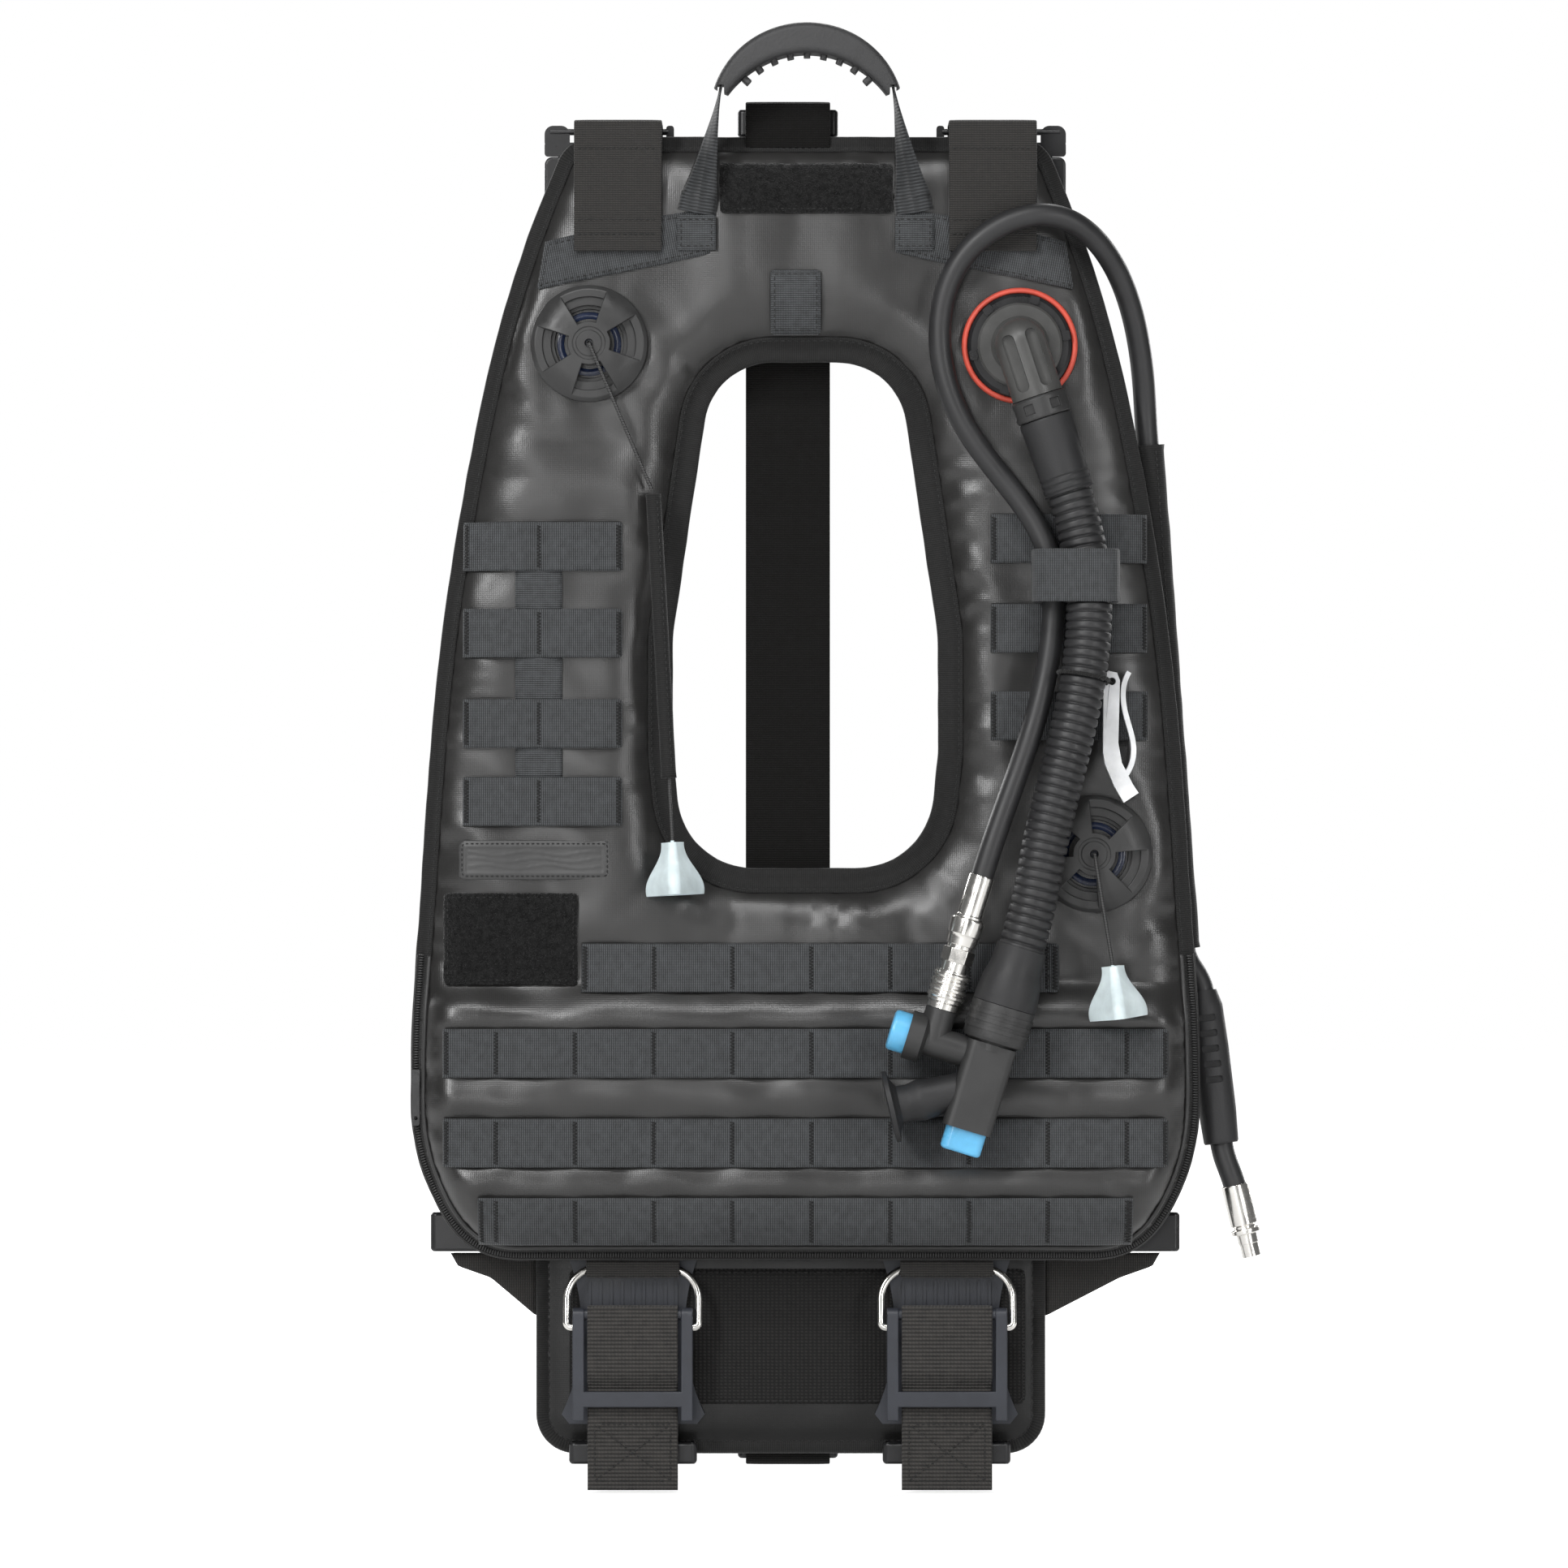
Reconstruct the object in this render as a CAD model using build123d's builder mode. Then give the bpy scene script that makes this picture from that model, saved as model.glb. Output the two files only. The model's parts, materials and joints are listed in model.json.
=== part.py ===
from build123d import *
import os
from math import atan2, cos, hypot, radians, sin

# Buoyancy compensator vest, millimetres. Origin: on the vest's centre line at the height of the
# strap tails' lower ends, in the middle of the air cell's thickness. +Z is up, the front faces -Y.

os.makedirs("parts", exist_ok=True)

# ---- driving dimensions ----
vest_top = 697.0          # upper edge of the outer binding
vest_bottom = 119.0       # lower edge of the outer binding
half_depth = 17.0         # inflated air cell, from the middle plane to either face
edge_round = 14.0         # roundness of the air cell's rim
fabric = 1.5              # outer shell cloth
binding_width = 7.0       # tape around the outside edge
neck_binding_width = 12.0 # tape around the neck opening
binding_half = 2.0        # half of the bindings' thickness
seam_gap = 0.1            # gap kept between pieces that are sewn face to face
neck_top = 582.0
neck_bottom = 320.0
neck_half_width = 69.0

webbing = 1.6             # thickness of all webbing
molle_height = 25.0       # one inch webbing
pocket_depth = 10.0       # how far the pocket stands out from the shell
pocket_top = 256.0
pocket_front = half_depth + pocket_depth

pad_left, pad_right = -139.0, 124.0
pad_bottom, pad_top = 17.5, 150.0
pad_near, pad_far = 17.2, 25.2      # depth range of the cylinder pad, behind the air cell
pad_binding = 8.0
harness_x = -8.0          # centre line of the back harness

dump_centres = {"upper": (-111.0, 590.0), "lower": (148.0, 328.0)}
elbow_centre = (110.0, 589.0)
neck_radius = 21.0        # threaded neck of every valve, through the shell
shell_hole = 22.0
valve_radius = 30.0


# ---- planes and outlines that several pieces share ----
def front(depth):
    """Sketch plane that faces the front, depth mm in front of the middle plane."""
    return Plane.XZ.offset(depth)


def at(x, depth, z):
    """A point from its sideways position, its depth towards the front and its height."""
    return Vector(x, -depth, z)


def vest_outline(inset):
    """Outside edge of the vest, shrunk by inset."""
    top, low = vest_top - inset, vest_bottom + inset
    corner = 122 - 0.6 * inset
    side = [(146, 636), (175, 517), (190, 413), (199, 290)]
    with BuildSketch() as sketch:
        with BuildLine():
            Line((-corner, top), (corner, top))
            for sign in (1, -1):
                upper = [(sign * corner, top)]
                upper += [(sign * (x - inset), z) for x, z in side]
                upper += [(sign * (203 - inset), 203)]
                Spline(*upper, tangents=[(0.42 * sign, -1), (0, -1)])
                lower = [(sign * (203 - inset), 203)]
                lower += [(sign * (190 - 0.8 * inset), 148 + 0.6 * inset), (sign * 147, low)]
                Spline(*lower, tangents=[(0, -1), (-sign, 0)])
            Line((147, low), (-147, low))
        make_face()
        fillet(sketch.vertices().group_by(Axis.Y)[-1], 20)
    return sketch.sketch


def neck_outline(grow):
    """Opening for the wearer's head and neck, enlarged by grow."""
    wide = neck_half_width + grow
    with BuildSketch() as sketch:
        with BuildLine():
            Polyline(
                (-48 - grow, neck_top + grow), (48 + grow, neck_top + grow),
                (wide, 440), (wide, 380), (wide - 6, neck_bottom - grow),
                (6 - wide, neck_bottom - grow), (-wide, 380), (-wide, 440),
                close=True,
            )
        make_face()
        fillet(sketch.vertices().filter_by_position(Axis.Y, 379, 441), 60 + grow)
        fillet(sketch.vertices().group_by(Axis.Y)[0], 40 + grow)
        fillet(sketch.vertices().group_by(Axis.Y)[-1], 36 + grow)
    return sketch.sketch


def cushion(inset, neck_grow, depth, rounding):
    """Half of a pillow with the vest's outline, rounded at its front rim."""
    with BuildPart() as half:
        with BuildSketch(Plane.XZ):
            add(vest_outline(inset))
            add(neck_outline(neck_grow), mode=Mode.SUBTRACT)
        extrude(amount=depth)
        fillet(half.faces().sort_by(Axis.Y)[0].edges(), rounding)
    return half.part


def box_sketch(left, right, low, high, corner=0):
    """Upright rectangle between four edges, with rounded corners."""
    with BuildSketch() as sketch:
        with Locations(((left + right) / 2, (low + high) / 2)):
            if corner:
                RectangleRounded(right - left, high - low, corner)
            else:
                Rectangle(right - left, high - low)
    return sketch.sketch


def thick_line(points, thickness):
    """A strip of even thickness that follows a line of points."""
    with BuildSketch() as sketch:
        with BuildLine():
            FilletPolyline(*points, radius=2.5)
        trace(line_width=thickness)
    return sketch.sketch


valve_necks = [*dump_centres.values(), elbow_centre]

# ---- outer shell: two moulded cloth halves that meet at the edge seam ----
outer_half = cushion(binding_width, neck_binding_width, half_depth, edge_round)
inner_half = cushion(
    binding_width + fabric, neck_binding_width + fabric, half_depth - fabric, edge_round - fabric
)

with BuildPart() as front_shell:
    add(outer_half)
    add(inner_half, mode=Mode.SUBTRACT)
    with BuildSketch(front(half_depth)):
        with Locations(*valve_necks):
            Circle(shell_hole)
    extrude(amount=-2 * fabric, mode=Mode.SUBTRACT)
front_shell.part.label = "front_shell"
export_step(front_shell.part, "parts/front_shell.step")

with BuildPart() as back_shell:
    add(outer_half)
    add(inner_half, mode=Mode.SUBTRACT)
    mirror(about=Plane.XZ, mode=Mode.REPLACE)
back_shell.part.label = "back_shell"
export_step(back_shell.part, "parts/back_shell.step")

# ---- air cell inside the shell, with a wide hole behind each valve ----
cell_gap = 1.5            # clearance between the cell and the shell
cell_wall = 2.0
cell_outer = cushion(
    binding_width + fabric + cell_gap, neck_binding_width + fabric + cell_gap,
    half_depth - fabric - cell_gap, edge_round - fabric - cell_gap,
)
cell_inset = fabric + cell_gap + cell_wall
cell_inner = cushion(
    binding_width + cell_inset, neck_binding_width + cell_inset,
    half_depth - cell_inset, edge_round - cell_inset,
)
with BuildPart() as air_bladder:
    add(cell_outer)
    add(cell_inner, mode=Mode.SUBTRACT)
    mirror(about=Plane.XZ)
    with BuildSketch(front(half_depth)):
        with Locations(*valve_necks):
            Circle(shell_hole + 1)
    extrude(amount=-half_depth, mode=Mode.SUBTRACT)
air_bladder.part.label = "air_bladder"
export_step(air_bladder.part, "parts/air_bladder.step")

# ---- binding tape around the vest, the neck opening and the cylinder pad ----
with BuildPart() as edge_bindings:
    with BuildSketch(front(-binding_half)):
        add(vest_outline(0))
        add(vest_outline(binding_width - 0.05), mode=Mode.SUBTRACT)
    extrude(amount=2 * binding_half)
    with BuildSketch(front(-binding_half)):
        add(neck_outline(neck_binding_width - 0.05))
        add(neck_outline(0), mode=Mode.SUBTRACT)
    extrude(amount=2 * binding_half)
    with BuildSketch(front(-pad_far + 1)):
        add(box_sketch(pad_left, pad_right, pad_bottom, pad_top, 20))
        add(
            box_sketch(pad_left + pad_binding, pad_right - pad_binding,
                       pad_bottom + pad_binding, pad_top - pad_binding, 12),
            mode=Mode.SUBTRACT,
        )
    extrude(amount=pad_far - pad_near - 2)
edge_bindings.part.label = "edge_bindings"
export_step(edge_bindings.part, "parts/edge_bindings.step")

# ---- pocket: a tray of cloth that wraps the lower front down to the edge binding ----
pocket_inset = 5.0
pocket_base = 2.2
pocket_round = 8.0
shell_side = 194.6        # half width of the shell just outside its rim at the pocket's top


def pocket_block(inset, top, front_depth, rounding):
    """Solid with the pocket's outline, rounded at its front along the sides and the bottom."""
    with BuildPart() as block:
        with BuildSketch(front(pocket_base)):
            add(vest_outline(inset))
            add(box_sketch(-220, 220, 0, top), mode=Mode.INTERSECT)
        extrude(amount=front_depth - pocket_base)
        front_rim = block.faces().sort_by(Axis.Y)[0].edges()
        fillet(front_rim.sort_by(Axis.Z)[:-1], rounding)
    return block.part


with BuildPart() as pocket_cover:
    add(pocket_block(pocket_inset, pocket_top, pocket_front, pocket_round))
    add(
        pocket_block(pocket_inset + fabric, pocket_top + 10, pocket_front - fabric,
                     pocket_round - fabric),
        mode=Mode.SUBTRACT,
    )
    # The upper wall is a flat sheet whose inner edge follows the shell's rounded rim.
    with BuildSketch(Plane.XY.offset(pocket_top - fabric)):
        with BuildLine():
            rim_start = shell_side - edge_round
            wall_top = pocket_round + 2
            shell_front = 3 + edge_round + seam_gap
            TangentArc((-shell_side, -3), (-rim_start, -shell_front), tangent=(0, -1))
            Line((-rim_start, -shell_front), (rim_start, -shell_front))
            TangentArc((rim_start, -shell_front), (shell_side, -3), tangent=(1, 0))
            Polyline(
                (shell_side, -3), (shell_side + 1, -3), (shell_side + 1, -pocket_front + wall_top),
                (shell_side - 7, -pocket_front + fabric / 2),
                (7 - shell_side, -pocket_front + fabric / 2),
                (-shell_side - 1, -pocket_front + wall_top), (-shell_side - 1, -3),
                (-shell_side, -3),
            )
        make_face()
    extrude(amount=fabric)
pocket_cover.part.label = "pocket_cover"
export_step(pocket_cover.part, "parts/pocket_cover.step")

# ---- zip around the pocket: tape with the coil on it ----
zip_top = 278.0
coil_centre = 2.5         # inset of the coil's middle from the vest's edge
coil_half = 0.8
tape_front = binding_half + 0.1 + 0.6
coil_front = tape_front + 1.5
with BuildPart() as pocket_zip:
    for outer, inner, near, far in (
        (0.3, 4.8, tape_front, tape_front - 0.6),
        (coil_centre - coil_half, coil_centre + coil_half, coil_front, tape_front),
    ):
        with BuildSketch(front(far)):
            add(vest_outline(outer))
            add(vest_outline(inner), mode=Mode.SUBTRACT)
            add(box_sketch(-220, 220, 0, zip_top), mode=Mode.INTERSECT)
        extrude(amount=near - far)
pocket_zip.part.label = "pocket_zip"
export_step(pocket_zip.part, "parts/pocket_zip.step")

# Slider on the left side of the zip; it runs up the nearly straight stretch of the edge.
slider_z = 212.0
slider_x = -203 + coil_centre
with BuildPart() as zip_slider:
    with BuildSketch(front(tape_front + 0.3)):
        add(box_sketch(slider_x - 2.3, slider_x + 2.05, slider_z - 5, slider_z + 5, 1))
    extrude(amount=4)
    with BuildSketch(front(tape_front + 0.3)):
        add(box_sketch(slider_x - 1.7, slider_x + 1.7, slider_z - 6, slider_z + 6))
    extrude(amount=1.7, mode=Mode.SUBTRACT)
    with BuildSketch(front(tape_front + 4.3)):
        add(box_sketch(slider_x - 1.9, slider_x + 1.9, slider_z - 24, slider_z + 3, 1.5))
        with Locations((slider_x, slider_z - 20)):
            Circle(1, mode=Mode.SUBTRACT)
    extrude(amount=1.2)
zip_slider.part.label = "zip_slider"
export_step(zip_slider.part, "parts/zip_slider.step")

# ---- webbing rows on the pocket and across its upper edge ----
upper_row_z = 269.6
pocket_rows = [226.0, 180.0, 139.5]
row_half_length = 186.0
with BuildPart() as molle_rows_lower:
    with BuildSketch(front(half_depth + seam_gap)):
        add(box_sketch(-115, 130, upper_row_z - molle_height / 2, upper_row_z + molle_height / 2))
    extrude(amount=webbing)
    with BuildSketch(front(pocket_front + seam_gap)):
        for row_z in pocket_rows:
            reach = row_half_length if row_z > 150 else row_half_length - 18
            add(box_sketch(-reach, reach, row_z - molle_height / 2, row_z + molle_height / 2))
    extrude(amount=webbing)
molle_rows_lower.part.label = "molle_rows_lower"
export_step(molle_rows_lower.part, "parts/molle_rows_lower.step")

# ---- short webbing strips on the chest, four left and three right, and a strap behind the left ----
left_strips = [486.0, 441.5, 395.0, 355.0]
right_strips = [490.0, 444.0, 399.0]
weave_front = half_depth + seam_gap + 1.2
with BuildPart() as molle_strips_side:
    with BuildSketch(front(half_depth + seam_gap)):
        add(box_sketch(-149, -125, 367, 476))
    extrude(amount=1.2)
    with BuildSketch(front(weave_front + seam_gap)):
        for strip_z in left_strips:
            add(box_sketch(-176, -94, strip_z - molle_height / 2, strip_z + molle_height / 2))
        for strip_z in right_strips:
            add(box_sketch(95, 176, strip_z - molle_height / 2, strip_z + molle_height / 2))
    extrude(amount=webbing)
molle_strips_side.part.label = "molle_strips_side"
export_step(molle_strips_side.part, "parts/molle_strips_side.step")

# ---- hook-and-loop fields and the blank name patch ----
with BuildPart() as loop_patches:
    with BuildSketch(front(half_depth + seam_gap)):
        add(box_sketch(-44, 45, 657, 683, 2))
        add(box_sketch(-186, -117, 261, 308, 2))
    extrude(amount=webbing)
loop_patches.part.label = "loop_patches"
export_step(loop_patches.part, "parts/loop_patches.step")

with BuildPart() as name_patch:
    with BuildSketch(front(half_depth + seam_gap)):
        add(box_sketch(-178, -100, 315, 335, 3))
    extrude(amount=1.2)
    chamfer(name_patch.faces().sort_by(Axis.Y)[0].edges(), 0.4)
name_patch.part.label = "name_patch"
export_step(name_patch.part, "parts/name_patch.step")

# ---- sewn tabs: neck tab, yoke straps, handle feet and the loops that hold the bails ----
cinch_offset = 81.0
cinch_centres = [harness_x - cinch_offset, harness_x + cinch_offset]
bail_axis_z, bail_axis_depth = 114.0, -5.0
handle_hinge_z = 657.0
foot_depth = half_depth + 2 * seam_gap + 1.5
with BuildPart() as sewn_tabs:
    with BuildSketch(front(half_depth + seam_gap)):
        add(box_sketch(-18, 8, 595, 628, 2))
    extrude(amount=2.4)
    for sign in (-1, 1):
        with BuildSketch(front(half_depth + seam_gap)):
            with BuildLine():
                Polyline(
                    (sign * 138, 618), (sign * 73, 631), (sign * 46, 637), (sign * 46, 660),
                    (sign * 73, 656), (sign * 134, 643), close=True,
                )
            make_face()
        extrude(amount=1.5)
        with BuildSketch(front(foot_depth)):
            add(box_sketch(min(sign * 46, sign * 66), max(sign * 46, sign * 66), 638,
                           handle_hinge_z - 1))
        extrude(amount=1.5)
    for centre in cinch_centres:
        with BuildSketch(Plane.YZ.offset(centre - 24)):
            add(box_sketch(0.2, 12.3, 109, 118.7, 3))
            add(box_sketch(1.6, 10.9, 110.4, 117.3, 2), mode=Mode.SUBTRACT)
        extrude(amount=48)
sewn_tabs.part.label = "sewn_tabs"
export_step(sewn_tabs.part, "parts/sewn_tabs.step")

# ---- cord sleeve beside the neck opening, a straight tube the pull cord runs through ----
sleeve_top = at(-78, 21.5, 512.5)
sleeve_low = at(-70, 27.0, 367.0)
cord_direction = (sleeve_low - sleeve_top).normalized()
cord_radius = 0.9
with BuildPart() as cord_sleeve:
    with BuildSketch(Plane(origin=sleeve_top, z_dir=cord_direction)):
        Circle(3.9)
        Circle(1.7, mode=Mode.SUBTRACT)
    extrude(amount=(sleeve_low - sleeve_top).length)
cord_sleeve.part.label = "cord_sleeve"
export_step(cord_sleeve.part, "parts/cord_sleeve.step")

# ---- spine strap: hangs over the top in a loop, runs down the back and behind the pad ----
strap_left, strap_right = -31.0, 13.0
strap_width = strap_right - strap_left
spine_depth = half_depth + 2.2
spine_behind_pad = pad_far + 1.3
with BuildPart() as spine_strap:
    with BuildSketch(Plane.YZ.offset(strap_left)):
        add(thick_line([
            (-3.4, 691), (-3.4, 715), (spine_depth, 715), (spine_depth, 185),
            (spine_behind_pad, 150), (spine_behind_pad, 13), (spine_behind_pad + 6, 9),
            (spine_behind_pad + 6, 28),
        ], webbing))
    extrude(amount=strap_width)
spine_strap.part.label = "spine_strap"
export_step(spine_strap.part, "parts/spine_strap.step")

# ---- webbing slides: rectangular rings with the strap running through their middle ----
ring_bar = 2.5
waist_slide_x, waist_slide_z = 166.7, 132.0
slide_places = [
    # sideways centre, height, half length, nearest and farthest y of the outer faces, half height
    (-waist_slide_x, waist_slide_z, 27.3, 17.3, 24.6, 10),
    (waist_slide_x, waist_slide_z, 27.3, 17.3, 24.6, 10),
    ((strap_left + strap_right) / 2, 706.0, 26.0, 16.0, 22.6, 7),
    ((strap_left + strap_right) / 2, 20.0, 26.0, 29.4, 35.6, 6),
    (cinch_centres[0], 18.5, 33.0, 4.5, 16.6, 5.5),
    (cinch_centres[1], 18.5, 33.0, 4.5, 16.6, 5.5),
]
with BuildPart() as webbing_slides:
    for slide_x, slide_z, half_length, near, far, half_height in slide_places:
        with BuildSketch(Plane.XY.offset(slide_z - half_height)):
            add(box_sketch(slide_x - half_length, slide_x + half_length, near, far, 3))
            add(
                box_sketch(slide_x - half_length + ring_bar, slide_x + half_length - ring_bar,
                           near + 1.8, far - 1.8, 1),
                mode=Mode.SUBTRACT,
            )
        extrude(amount=2 * half_height)
webbing_slides.part.label = "webbing_slides"
export_step(webbing_slides.part, "parts/webbing_slides.step")

# ---- shoulder straps: from the chest over the top edge, looped round the buckles' bars ----
shoulder_left, shoulder_right = 73.5, 119.0
bar_y, bar_z, bar_radius = 19.5, 701.7, 1.7
strap_front = half_depth + 2 * seam_gap + 1.5 + 0.95
with BuildPart() as shoulder_straps:
    for sign in (-1, 1):
        start = min(sign * shoulder_left, sign * shoulder_right)
        with BuildSketch(Plane.YZ.offset(start)):
            add(thick_line([
                (-strap_front, 637.5), (-strap_front, bar_z + 2.8), (bar_y + 2.8, bar_z + 2.8),
                (bar_y + 2.8, bar_z - 2.8), (6, bar_z - 2.8),
            ], 1.5))
        extrude(amount=shoulder_right - shoulder_left)
shoulder_straps.part.label = "shoulder_straps"
export_step(shoulder_straps.part, "parts/shoulder_straps.step")

# ---- side-release buckles behind the shoulders ----
buckle_x = 101.5
buckle_half = 33.5
bar_half = 29.5
cheek_inner = 20.5        # the plug's cheek beyond the strap's outer edge starts here
buckle_near, buckle_far = 17.4, 24.6
prong_end = 30.0
socket_top, socket_end = 13.0, 32.5
socket_bar = 40.0
for side, sign in (("left", -1), ("right", 1)):
    middle = sign * buckle_x
    with BuildPart() as buckle_plug:
        with BuildSketch(Plane.YZ.offset(middle - bar_half - 1)):
            with Locations((bar_y, bar_z)):
                Circle(bar_radius)
        extrude(amount=2 * bar_half + 2)
        with BuildSketch(front(-buckle_far + 1.2)):
            for end, cheek_start, corner in ((-sign, bar_half, 1.5), (sign, cheek_inner, 4.5)):
                x_inner, x_outer = middle + end * cheek_start, middle + end * buckle_half
                add(box_sketch(min(x_inner, x_outer), max(x_inner, x_outer),
                               bar_z - 9.5, bar_z + 3.2, corner))
            add(box_sketch(middle - buckle_half, middle + buckle_half,
                           bar_z - 12.5, bar_z - 5.5, 1.5))
        extrude(amount=buckle_far - buckle_near - 2)
        with BuildSketch(front(-buckle_far + 2.6)):
            for end in (-1, 1):
                add(box_sketch(middle + end * 23 - 3.5, middle + end * 23 + 3.5,
                               bar_z - prong_end, bar_z - 11, 2))
            add(box_sketch(middle - 3, middle + 3, bar_z - prong_end + 2, bar_z - 11, 1.5))
        extrude(amount=2.4)
    buckle_plug.part.label = f"buckle_plug_{side}"
    export_step(buckle_plug.part, f"parts/buckle_plug_{side}.step")

    with BuildPart() as buckle_socket:
        with BuildSketch(front(-buckle_far)):
            add(box_sketch(middle - buckle_half, middle + buckle_half,
                           bar_z - socket_bar - 2, bar_z - socket_top, 4))
        extrude(amount=buckle_far - buckle_near)
        fillet(buckle_socket.faces().filter_by(Axis.Y).edges(), 1.4)
        with BuildSketch(front(-buckle_far + 1.8)):
            add(box_sketch(middle - 28.5, middle + 28.5, bar_z - socket_end, bar_z))
        extrude(amount=buckle_far - buckle_near - 3.6, mode=Mode.SUBTRACT)
        with BuildSketch(front(-buckle_far)):
            add(box_sketch(middle - 26, middle + 26,
                           bar_z - socket_bar + 1.6, bar_z - socket_end - 1.4))
        extrude(amount=buckle_far - buckle_near, mode=Mode.SUBTRACT)
        with BuildSketch(Plane.YZ.offset(middle - buckle_half)):
            add(box_sketch(buckle_near + 1.8, buckle_far - 1.8, bar_z - 30, bar_z - 19, 1.5))
        extrude(amount=2 * buckle_half, mode=Mode.SUBTRACT)
    buckle_socket.part.label = f"buckle_socket_{side}"
    export_step(buckle_socket.part, f"parts/buckle_socket_{side}.step")

    # Back harness strap: slants from the socket down to the slide at the waist.
    strap_top_z = bar_z - socket_bar + 0.6
    harness_low_z = 124.0
    harness_half, harness_low_half = 22.5, 20.5
    harness_low_x = sign * (waist_slide_x + 1.8)
    with BuildPart() as harness_strap:
        with BuildSketch(front(-bar_y - 0.8)):
            with BuildLine():
                Polyline(
                    (middle - harness_half, strap_top_z - 4),
                    (middle + harness_half, strap_top_z - 4),
                    (harness_low_x + harness_low_half, harness_low_z),
                    (harness_low_x - harness_low_half, harness_low_z),
                    close=True,
                )
            make_face()
        extrude(amount=-webbing)
    harness_strap.part.label = f"harness_strap_{side}"
    export_step(harness_strap.part, f"parts/harness_strap_{side}.step")

# ---- cylinder pad and its woven front panel ----
with BuildPart() as cylinder_pad:
    with BuildSketch(front(-pad_far)):
        add(box_sketch(pad_left + pad_binding, pad_right - pad_binding,
                       pad_bottom + pad_binding, pad_top - pad_binding, 12))
    extrude(amount=pad_far - pad_near)
    fillet(cylinder_pad.faces().filter_by(Axis.Y).edges(), 1.5)
cylinder_pad.part.label = "cylinder_pad"
export_step(cylinder_pad.part, "parts/cylinder_pad.step")

with BuildPart() as pad_panel:
    with BuildSketch(front(-pad_near + seam_gap)):
        add(box_sketch(-122, 114, 43, 113))
    extrude(amount=1.4)
pad_panel.part.label = "pad_panel"
export_step(pad_panel.part, "parts/pad_panel.step")

# ---- waist straps: short webbing wings from the waist slides to the pad's sides ----
with BuildPart() as waist_straps:
    with BuildSketch(front(-24.6)):
        for sign, pad_edge in ((-1, pad_left - 0.3), (1, pad_right + 0.3)):
            with BuildLine():
                Polyline(
                    (sign * 184, 121), (pad_edge, 121), (pad_edge, 88),
                    (sign * 163, 108), (sign * 180, 114), close=True,
                )
            make_face()
    extrude(amount=webbing)
waist_straps.part.label = "waist_straps"
export_step(waist_straps.part, "parts/waist_straps.step")

# ---- cinch buckles: ribbed base plates, wire bails, levers and the straps over their rollers ----
base_near, base_far = 12.4, 15.4     # y range of the base plates
lever_pivot_z, lever_pivot_depth = 84.0, 2.0
lever_near, lever_far = 6.0, -2.0    # depth range of the lever's rails
rail_inner, rail_outer = 25.0, 31.0
wire_radius = 2.0
roller_z = 90.5
strap_half = 23.5
with BuildPart() as cinch_bases:
    for centre in cinch_centres:
        with BuildSketch(front(-base_far)):
            with BuildLine():
                Line((centre - 33, 118), (centre + 33, 118))
                ThreePointArc((centre + 33, 118), (centre + 27, 76), (centre + 37, 38))
                Line((centre + 37, 38), (centre + 33, 33))
                Line((centre + 33, 33), (centre - 33, 33))
                Line((centre - 33, 33), (centre - 37, 38))
                ThreePointArc((centre - 37, 38), (centre - 27, 76), (centre - 33, 118))
            make_face()
        extrude(amount=base_far - base_near - 0.8)
        with BuildSketch(front(-base_near - 0.8)):
            for rib in range(-4, 5):
                add(box_sketch(centre + rib * 5.6 - 0.7, centre + rib * 5.6 + 0.7, 40, 107, 0.6))
        extrude(amount=0.8)
cinch_bases.part.label = "cinch_bases"
export_step(cinch_bases.part, "parts/cinch_bases.step")

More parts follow.
